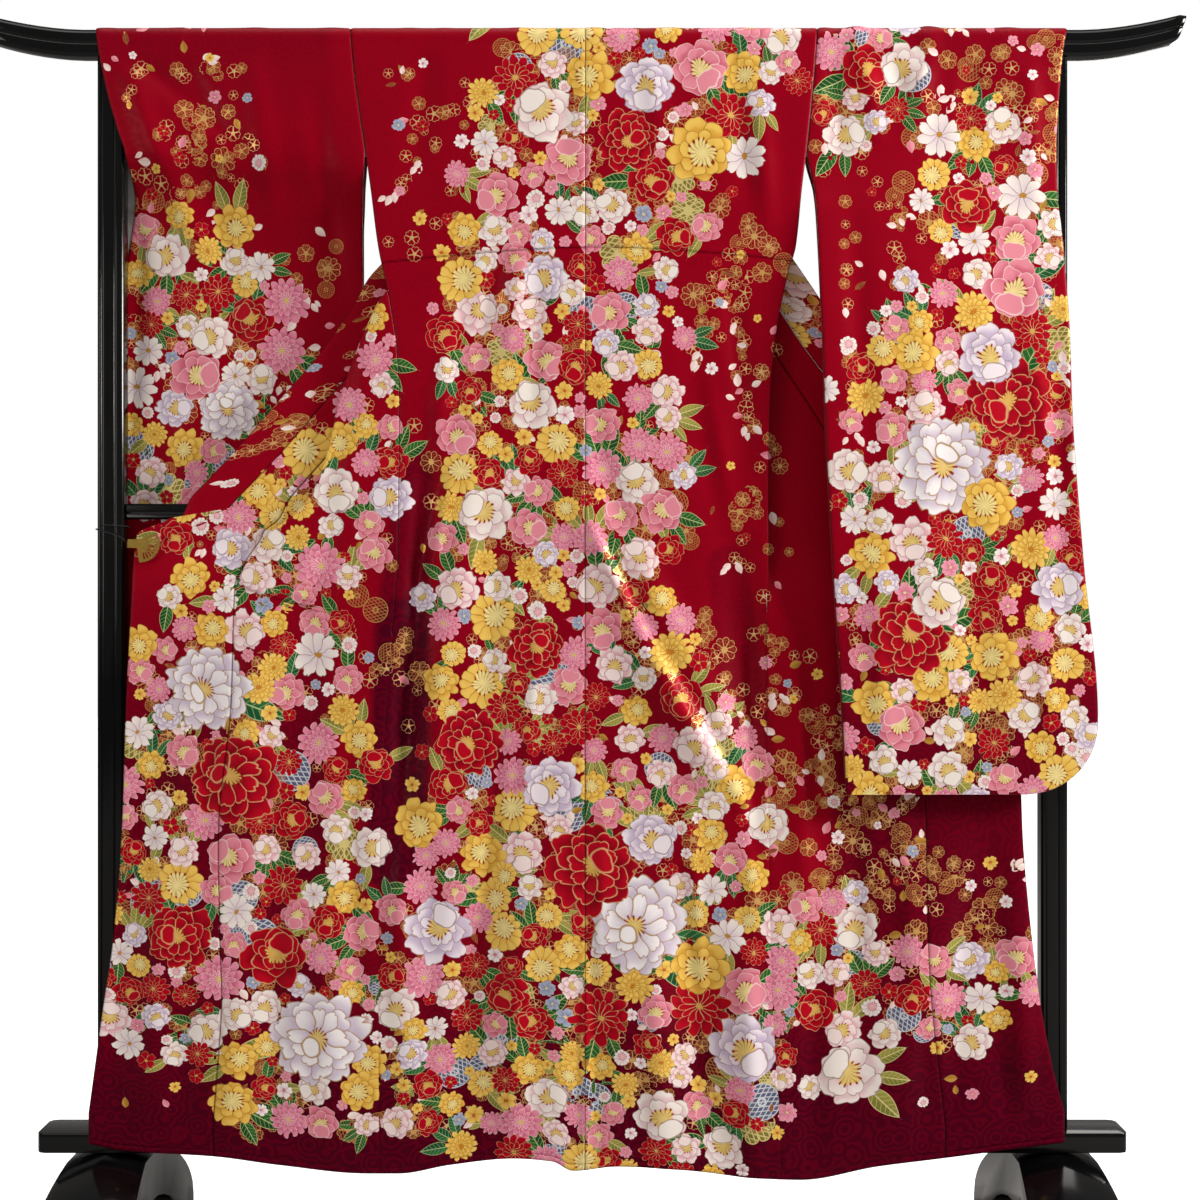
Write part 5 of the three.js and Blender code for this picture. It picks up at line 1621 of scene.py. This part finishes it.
@dataclass
class Garment:
    """The furisode: two body panels, two sleeves, two overlap panels and the collar.

    Args:
        step: spacing of the points on the cloth, in millimetres.
    """

    step: float = 6.0

    def build(self, finishes: SilkFinishes) -> list[bpy.types.Object]:
        """Makes every piece of the garment.

        Args:
            finishes: the silk's materials.

        Returns:
            The pieces' objects.
        """
        body_print, made = BODY_PRINT.lay(), []
        for side in Side:
            sleeve_print = SLEEVE_PRINTS[side].lay()
            for piece, print_ in (
                (self.body(side), body_print),
                (self.overlap(side), body_print),
                (self.sleeve(side), sleeve_print),
            ):
                made.append(piece.build(print_, finishes))
                LOG.info("%s: %d faces", piece.name, len(made[-1].data.polygons))
        collar = self.collar()
        made.append(collar.build(COLLAR_PRINT.lay(), finishes))
        LOG.info("%s: %d faces", collar.name, len(made[-1].data.polygons))
        return made

    def body(self, side: Side) -> ClothPiece:
        """A body panel: one length of cloth from the back hem, over the bar, to the front hem."""
        u = np.concatenate([[0, 0.007], np.linspace(0.016, 1 - 0.016, 56), [1 - 0.007, 1]])
        tucked = np.arange(1398, 1444, 2.0)
        back_z = np.concatenate([HEM_ROWS[::-1], np.arange(136, 1396, self.step), tucked,
                                 1444 + spaced(BAR_EDGE - 1444, self.step)])  # fmt: skip
        front_z = np.concatenate([np.arange(BAR_EDGE - 6, 1596, -6.0), np.arange(1596, 1330, -4.5),
                                  np.arange(1330, 132, -self.step), HEM_ROWS])  # fmt: skip
        zb, ub = np.meshgrid(back_z, u, indexing="ij")
        back = back_point(side, zb, ub)
        back_flat = np.stack([back[..., 0], zb], -1)
        zf, uf = np.meshgrid(front_z, u, indexing="ij")
        s = panel_across(side, zf, 1 - uf)
        front = front_point(side, zf, s)
        column_x = side.value * mix(CENTRE_BACK, OUTLINE[side](zf)["side"], uf)
        cloth_x = side.value * (OUTLINE[side](zf)["side"] - s)
        upper_x = mix(column_x, cloth_x, ease(BAR_EDGE, 1640, zf))
        front_flat = np.stack([upper_x, SHOULDER - zf], -1)
        front_low = np.stack([print_x(side, zf, s), zf], -1)
        t, ua = np.meshgrid(OVER_BAR, u, indexing="ij")
        y, z = over_bar(t)
        on_back = back_x(side, z, ua)
        on_front = front_point(side, z, (1 - ua) * FRONT_CUT)[..., 0]
        x = mix(on_back, on_front, ease(8, BAR_SIDE, y))
        top = np.stack([x, y, z], -1)
        top_flat = np.stack([on_back, BAR_EDGE + t * BAR_ARC], -1)
        self._gather(back)
        self._gather(top)
        points = np.concatenate([back, top, front])
        flat = np.concatenate([back_flat, top_flat, front_flat])
        flat_low = np.concatenate([back_flat, top_flat, front_low])
        width = np.concatenate([OUTLINE[side](zb)["side"], x * 0 + 330, panel_width(side, zf)])
        across = np.concatenate([ub, ua, 1 - s / panel_width(side, zf)]) * width
        level = np.concatenate([zb, z + 200, zf])
        tuck = np.where(points[..., 1] < 0, tuck_height(points[..., 0]), FRONT_TUCK)
        seam = np.minimum(np.minimum(across, width - across), np.abs(level - tuck))
        seam = np.minimum(seam, hem_distance(level))
        edge = np.abs(level - HEM_LOWEST)
        switch = len(back_z) + len(OVER_BAR) + int(np.searchsorted(-front_z, -FRONT_TUCK))
        dye_and_trough_shade = self._dye_and_trough_shade(points)
        grid = Grid(points, flat, dye_and_trough_shade, seam, side.value, edge, flat_low, switch)
        return ClothPiece(
            f"silk_body_{side.word}", f"body_{side.word}", grid,
            (0.32, 3.28), 0.93, ["top_bar"],
        )  # fmt: skip

    def overlap(self, side: Side) -> ClothPiece:
        """The narrow overlap panel on a front's inner edge."""
        u = np.concatenate([[0, 0.012], np.linspace(0.035, 0.965, 24), [0.988, 1]])
        levels = np.concatenate([np.arange(KENSAKI, COLLAR_END, -4.5),
                                 [COLLAR_END, 1057, 1052, 1048],
                                 np.arange(1042, 132, -self.step), HEM_ROWS])  # fmt: skip
        z, q = np.meshgrid(levels, u, indexing="ij")
        width = np.maximum(overlap_width(side, z), 3.0)
        s = q * width
        points = band_point(side, z, s)
        tucked = band_point(side, z[:, 0], s[:, 0] - 1.1)
        points[:, 0] = tucked + (0.0, 1.1, 0.0)
        flat = np.stack([print_x(side, z, panel_width(side, z) + SEAM + s), z], -1)
        seam = np.minimum(np.minimum(s, width - s), hem_distance(z))
        edge = np.minimum(np.where(z < COLLAR_END, width - s, FAR), np.abs(z - HEM_LOWEST))
        grid = Grid(points, flat, self._dye_and_trough_shade(points), seam, -side.value, edge)
        return ClothPiece(
            f"silk_overlap_{side.word}", f"overlap_{side.word}", grid,
            (0.15, 1.40), 0.17, [f"silk_body_{side.word}"],
        )  # fmt: skip

    def sleeve(self, side: Side) -> ClothPiece:
        """A sleeve: one length of cloth from its foot, over the bar, to its other foot."""
        shape = SLEEVE[side]
        foot = SLEEVE_FOOT + np.array([0, 1.5, 4, 8, 13, 19, 26])
        steps = np.arange(SLEEVE_FOOT + 32, BAR_EDGE - 2, self.step)
        up = np.concatenate([foot, steps, [BAR_EDGE]])
        u = np.unique(np.concatenate([[0, 0.005], spaced(1.0, 1 / 60, 0.006)[1:-1], [0.995, 1]]))

        def edge_at(z: Array, q: Array, rear: bool) -> Array:
            """Distance from x = 0, q of the way across a layer."""
            row = shape(z)
            sewn = OUTLINE[side](z)["side"] + 2 * SEAM
            inner = np.where(z >= ARMHOLE_FOOT, sewn, row["inner"])
            rise = np.clip(SLEEVE_FOOT + SLEEVE_ROUND - z, 0, SLEEVE_ROUND)
            rounding = SLEEVE_ROUND - np.sqrt(SLEEVE_ROUND**2 - rise**2)
            return mix(inner, row["rear" if rear else "outer"] - rounding, q)

        def layer(z: Array, q: Array, rear: bool) -> Array:
            """A point of one of the sleeve's two layers."""
            row = shape(z)
            x = side.value * edge_at(z, q, rear)
            sewn_edge = ease(CUFF_FOOT, CUFF_FOOT - 70, z) * ease(0.8, 1, q)
            shut = np.maximum(sewn_edge, ease(SLEEVE_FOOT + 45, SLEEVE_FOOT, z))
            beside = ease(ARMHOLE_FOOT - 90, ARMHOLE_FOOT, z) * ease(0.35, 0, q)
            face = mix(row["face"], row["cuff"], q)
            wave = SLEEVE_FOLDS[side].depth(x, z) * ease(0, 0.2, q) * ease(1, 0.85, q)
            crease = SLEEVE_CREASES[side].depth(x, z) * ease(0, 0.04, q) * ease(1, 0.97, q)
            crease = crease * ease(SLEEVE_FOOT, SLEEVE_FOOT + 60, z)
            wave, crease = wave * ease(BAR_EDGE, 1650, z), crease * ease(BAR_EDGE - 8, 1670, z)
            if not rear:
                return np.stack([x, mix(face + wave, DEPTH(z)["back"], beside) + crease, z], -1)
            slope = mix(row["back"], row["back"] + (row["cuff"] - row["face"]) * (z < 1500), q)
            hung = mix(slope + wave + 0.5 * crease, front_point(side, z, z * 0)[..., 1], beside)
            return np.stack([x, mix(hung, face + wave + crease + 2 * WALL + SEAM, shut), z], -1)

        z0, q0 = np.meshgrid(up, u, indexing="ij")
        face = layer(z0, q0, False)
        t, q1 = np.meshgrid(OVER_BAR, u, indexing="ij")
        y, z1 = over_bar(t)
        x1 = side.value * mix(edge_at(z1, q1, False), edge_at(z1, q1, True), ease(-10, 10, y))
        top = np.stack([x1, y, z1], -1)
        z2, q2 = np.meshgrid(up[::-1], u, indexing="ij")
        rear = layer(z2, q2, True)
        self._gather(face)
        self._gather(top)
        points = np.concatenate([face, top, rear])
        fallen = np.concatenate([z0, BAR_EDGE + t * BAR_ARC, SHOULDER - z2])
        flat = np.stack([np.concatenate([face[..., 0], x1, rear[..., 0]]), fallen], -1)
        q = np.concatenate([q0, q1, q2])
        seam = np.minimum(q, 1 - q) * SLEEVE_CUT
        cuff = np.where(points[..., 2] > CUFF_FOOT, 1 - q, FAR)
        furi = np.where(points[..., 2] < ARMHOLE_FOOT, q, FAR)
        edge = np.minimum(cuff, furi) * SLEEVE_CUT
        grid = Grid(points, flat, self._dye_and_trough_shade(points), seam, side.value, edge)
        return ClothPiece(
            f"silk_sleeve_{side.word}", f"sleeve_{side.word}", grid,
            (0.36, 2.25), 0.79, ["top_bar"],
        )  # fmt: skip

    def collar(self) -> ClothPiece:
        """The collar: one band from the left front, round the back of the neck, to the right."""
        u = np.concatenate([[0, 0.03], np.linspace(0.1, 0.9, 9), [0.97, 1]])
        levels = np.concatenate([[COLLAR_END], np.arange(1066, 1690, 5.0), [1690]])
        free = CLOTH_TOP - NECK_DROP

        def side_rows(side: Side) -> Array:
            """The band down one front, from its lowest row up."""
            z, q = np.meshgrid(levels, u, indexing="ij")
            beside = np.maximum(overlap_width(side, np.maximum(z, COLLAR_END)), 0) + SEAM
            start = np.where(z <= KENSAKI, beside, 0.0)
            eased = TURN_EASE * ease(1490, 1525, z) * ease(1620, 1570, z)
            placed = band_point(side, z, start + eased + q * collar_width(z))
            ended = ease(COLLAR_END + 18, COLLAR_END, z)
            placed[..., 2] -= ended * (0.4 + 13.4 * q)
            return placed

        t, q = np.meshgrid(np.linspace(0, 1, 34)[1:-1], u, indexing="ij")
        x = mix(-1, 1, t)
        sewn = np.stack([x * 90, x * 0 + 21, BAR_TOP - 7 - 42 * np.abs(x) ** 8], -1)
        loose = np.stack([x * 38, 22 + 3 * (1 - x * x), free - 4 * x * x], -1)
        round_neck = mix(sewn, loose, q[..., None])
        points = np.concatenate([side_rows(Side.LEFT), round_neck, side_rows(Side.RIGHT)[::-1]])
        rows = len(points)
        across = np.tile(u, (rows, 1)) * COLLAR_CUT
        along = path(points[:, 5])
        flat = np.stack([across, np.tile(along[:, None], (1, len(u)))], -1)
        seam = np.minimum(across, COLLAR_CUT - across)
        grid = Grid(points, flat, seam * 0 + 0.1, seam, -1, seam * 0 + FAR)
        return ClothPiece(
            "silk_collar", "collar", grid,
            (0.06, 1.72), 0.095, ["silk_body_left"],
        )  # fmt: skip

    @staticmethod
    def _gather(points: Array) -> None:
        """Bunches the cloth along the bar's top, where the viewer sees it."""
        x, y, z = points[..., 0], points[..., 1], points[..., 2]
        near = ease(1600, 1738, z) * ease(15, -10, y)
        points[..., 1] -= np.maximum(gathers(x), 0) * 2.2 * near * ease(CLOTH_TOP, 1735, z)
        points[..., 2] += np.maximum(gathers(x), 0) * 2.0 * ease(1738, 1746, z)

    @staticmethod
    def _dye_and_trough_shade(points: Array) -> Array:
        """How far the cloth goes from crimson to wine at its points: dyed wine low down and on the
        sleeves, and along the fold troughs painted shade as well.
        """
        x, z = points[..., 0], points[..., 2]
        hem = ease(620, 190, z) * 0.95
        skirt = ease(1250, 560, z) * ease(300, 120, np.abs(x + 60)) * 0.3
        # painted shade: wine darkening along the fold troughs, besides their darker dyeing
        skirt = np.maximum(skirt, WINE_AND_TROUGH_SHADE.density(x, z))
        sleeve = ease(336, 372, np.abs(x)) * (ease(1000, 690, z) * 0.7 + ease(1600, 1740, z) * 0.2)
        return np.maximum(np.maximum(hem, skirt), sleeve).clip(0, 1) + 0.08


# ---------------------------------------------------------------- the stand


@dataclass(frozen=True)
class Lacquer:
    """Gloss black lacquer over wood: deep, with faint ripples and a trace of dust."""

    base: Colour = rgb(0x060607)
    dusty: Colour = rgb(0x121213)
    roughness: float = 0.1

    def material(self) -> bpy.types.Material:
        """Builds the lacquer's material."""
        material, paint, shader = new_material("lacquer")
        tree, place = material.node_tree, paint.object_place()
        dust = paint.cloud(place, 9.0, 5.0).between(0.4, 0.75)
        tree.links.new(paint.mix(dust * 0.5, self.base, self.dusty), shader.inputs["Base Color"])
        tree.links.new((dust * 0.07 + self.roughness).socket, shader.inputs["Roughness"])
        shader.inputs["Specular IOR Level"].default_value = 0.28
        paint.bump(shader, paint.cloud(place, 14.0, 2.0), 0.12, 0.001)
        return material


@dataclass(frozen=True)
class GiltMetal:
    """Gilt brass of the clips, a little worn."""

    base: Colour = rgb(0xD9B25A)
    worn: Colour = rgb(0x8A6426)

    def material(self) -> bpy.types.Material:
        """Builds the gilt's material."""
        material, paint, shader = new_material("gilt")
        tree, place = material.node_tree, paint.object_place()
        spots = paint.cloud(place, 180.0, 4.0).between(0.5, 0.75)
        tree.links.new(paint.mix(spots * 0.6, self.base, self.worn), shader.inputs["Base Color"])
        tree.links.new((spots * 0.2 + 0.24).socket, shader.inputs["Roughness"])
        shader.inputs["Metallic"].default_value = 1.0
        paint.bump(shader, paint.cloud(place, 260.0, 3.0), 0.2, 0.0004)
        return material


@dataclass(frozen=True)
class CordYarn:
    """Matt black twisted cord, with a painted highlight along the ridges of its twist."""

    base: Colour = rgb(0x101012)
    # the painted highlight's colour on the twist's ridges
    light: Colour = rgb(0x2B2B2F)

    def material(self) -> bpy.types.Material:
        """Builds the cord's material."""
        material, paint, shader = new_material("cord")
        tree, place = material.node_tree, paint.object_place()
        x, y, z = paint.split(place)
        twist_and_highlight = ((x + y + z) * 2600.0).op("SINE").between(-0.6, 0.8)
        # painted highlight: the twist's raised ridges are lighter in colour
        tree.links.new(paint.mix(twist_and_highlight, self.base, self.light), shader.inputs["Base Color"])
        shader.inputs["Roughness"].default_value = 0.85
        paint.bump(shader, twist_and_highlight, 0.5, 0.0003)
        return material


@dataclass
class Stand:
    """The lacquered stand, its edges rounded off by `edge` where they are sharp, and the clips."""

    lacquered: tuple[str, ...] = (
        "top_bar", "mid_rail", "base_board", "post_left", "post_right", "foot_left", "foot_right",
    )  # fmt: skip
    gilded: tuple[str, ...] = (
        "clip_fan_left", "clip_fan_right", "clip_spring_left", "clip_spring_right",
    )  # fmt: skip
    corded: tuple[str, ...] = ("clip_cord_left", "clip_cord_right")
    edge: float = 1.2 * MM
    sharp: float = math.radians(32)

    def dress(self, nodes: dict[str, bpy.types.Object]) -> None:
        """Gives each carried-over solid its finish.

        Args:
            nodes: the frame's solids by name.
        """
        lacquer = Lacquer().material()
        for name in self.lacquered:
            self._round_off(nodes[name], lacquer)
        for names, finish in ((self.gilded, GiltMetal()), (self.corded, CordYarn())):
            material = finish.material()
            for name in names:
                slots = nodes[name].data.materials
                slots.clear()
                slots.append(material)
            LOG.info("%s: %s", material.name, ", ".join(names))

    def _round_off(self, node: bpy.types.Object, material: bpy.types.Material) -> None:
        """Stands a smooth copy with softly rounded edges in the place of a lacquered solid."""
        mesh = node.data.copy()
        work = bmesh.new()
        work.from_mesh(mesh)
        bmesh.ops.remove_doubles(work, verts=work.verts, dist=0.01 * MM)
        flat = math.radians(0.5)
        bmesh.ops.dissolve_limit(work, angle_limit=flat, verts=work.verts, edges=work.edges)
        work.to_mesh(mesh)
        work.free()
        obj = bpy.data.objects.new(f"lacquered_{node.name}", mesh)
        bpy.context.scene.collection.objects.link(obj)
        bpy.ops.object.select_all(action="DESELECT")
        obj.select_set(True)
        bpy.context.view_layer.objects.active = obj
        bevel = obj.modifiers.new("edges", "BEVEL")
        bevel.width = self.edge
        bevel.segments = 3
        bevel.limit_method = "ANGLE"
        bevel.angle_limit = self.sharp
        bpy.ops.object.modifier_apply(modifier=bevel.name)
        bpy.ops.object.shade_smooth_by_angle(angle=self.sharp)
        obj.data.materials.clear()
        obj.data.materials.append(material)
        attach(obj, "root")
        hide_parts(node.name)
        LOG.info("%s: %d faces", obj.name, len(obj.data.polygons))


# ---------------------------------------------------------------- the room


@dataclass
class Studio:
    """A white floor and backdrop, soft lights and the camera, in metres."""

    eye: tuple[float, float, float] = (0.025, -3.1, 0.931)
    lens: float = 65.0
    floor_half: float = 14.0
    ambient: float = 0.24
    warmth: Colour = (1.0, 0.955, 0.905)
    backdrop: float = 1.0

    # name, place, the point it is turned to, size, watts
    LAMPS = (
        ("key", (3.3, -1.25, 2.3), (0.0, 0.0, 0.85), 0.9, 140.0),
        ("fill", (-2.9, -2.6, 1.6), (0.0, 0.0, 0.9), 1.6, 34.0),
        ("top", (0.0, -0.9, 4.6), (0.0, 0.0, 0.0), 3.0, 62.0),
        ("back", (0.6, 3.0, 2.6), (0.0, 0.0, 1.0), 2.4, 40.0),
    )

    def build(self) -> None:
        """Makes the floor, the lights and the camera."""
        self._floor()
        for lamp in self.LAMPS:
            self._light(*lamp)
        self._world()
        bpy.context.scene.view_settings.view_transform = "Standard"
        data = bpy.data.cameras.new("camera")
        data.lens = self.lens
        data.sensor_width = 36.0
        camera = bpy.data.objects.new("camera", data)
        camera.location = self.eye
        camera.rotation_euler = (math.pi / 2, 0.0, 0.0)
        bpy.context.scene.collection.objects.link(camera)
        bpy.context.scene.camera = camera

    def _world(self) -> None:
        """A dim even sky that shows as a white backdrop."""
        world = bpy.data.worlds.new("studio")
        bpy.context.scene.world = world
        world.use_nodes = True
        tree = world.node_tree
        sky = tree.nodes["Background"]
        backdrop = tree.nodes.new("ShaderNodeBackground")
        white = (1.0, 1.0, 1.0)
        for node, strength, colour in (
            (sky, self.ambient, self.warmth),
            (backdrop, self.backdrop, white),
        ):
            node.inputs["Color"].default_value = (*colour, 1.0)
            node.inputs["Strength"].default_value = strength
        choice = tree.nodes.new("ShaderNodeMixShader")
        tree.links.new(self._seen(tree), choice.inputs[0])
        tree.links.new(sky.outputs[0], choice.inputs[1])
        tree.links.new(backdrop.outputs[0], choice.inputs[2])
        tree.links.new(choice.outputs[0], tree.nodes["World Output"].inputs["Surface"])

    def _floor(self) -> None:
        """The plain white floor, faintly lit from below like a light table."""
        bpy.ops.object.select_all(action="DESELECT")
        bpy.ops.mesh.primitive_plane_add(size=2 * self.floor_half, location=(0, 0, 0))
        floor = bpy.context.object
        floor.name = "floor"
        material, _, shader = new_material("floor")
        shader.inputs["Base Color"].default_value = (0.4, 0.4, 0.4, 1.0)
        shader.inputs["Roughness"].default_value = 0.8
        shader.inputs["Emission Color"].default_value = (1.0, 1.0, 1.0, 1.0)
        tree = material.node_tree
        glow = Number(tree, self._seen(tree)) * 1.2
        tree.links.new(glow.socket, shader.inputs["Emission Strength"])
        floor.data.materials.append(material)

    @staticmethod
    def _seen(tree: bpy.types.NodeTree) -> bpy.types.NodeSocket:
        """Whether the camera looks straight at the surface."""
        return tree.nodes.new("ShaderNodeLightPath").outputs["Is Camera Ray"]

    def _light(
        self, name: str, place: tuple[float, ...], at: tuple[float, ...], size: float, watts: float
    ) -> None:
        """A soft square light at a place, turned to a point."""
        data = bpy.data.lights.new(name, "AREA")
        data.size = size
        data.energy = watts
        data.color = self.warmth
        light = bpy.data.objects.new(name, data)
        way = np.array(at) - np.array(place)
        flat = math.hypot(way[0], way[1])
        light.location = place
        light.rotation_euler = (math.atan2(flat, -way[2]), 0.0, math.atan2(-way[0], way[1]))
        bpy.context.scene.collection.objects.link(light)


def main() -> None:
    """Builds the kimono and its stand around the frame."""
    logging.basicConfig(level=logging.INFO, format="%(message)s")
    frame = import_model()
    bpy.ops.object.select_all(action="DESELECT")
    Studio().build()
    Stand().dress(frame["nodes"])
    Garment().build(SilkFinishes())


if __name__ == "__main__":
    main()
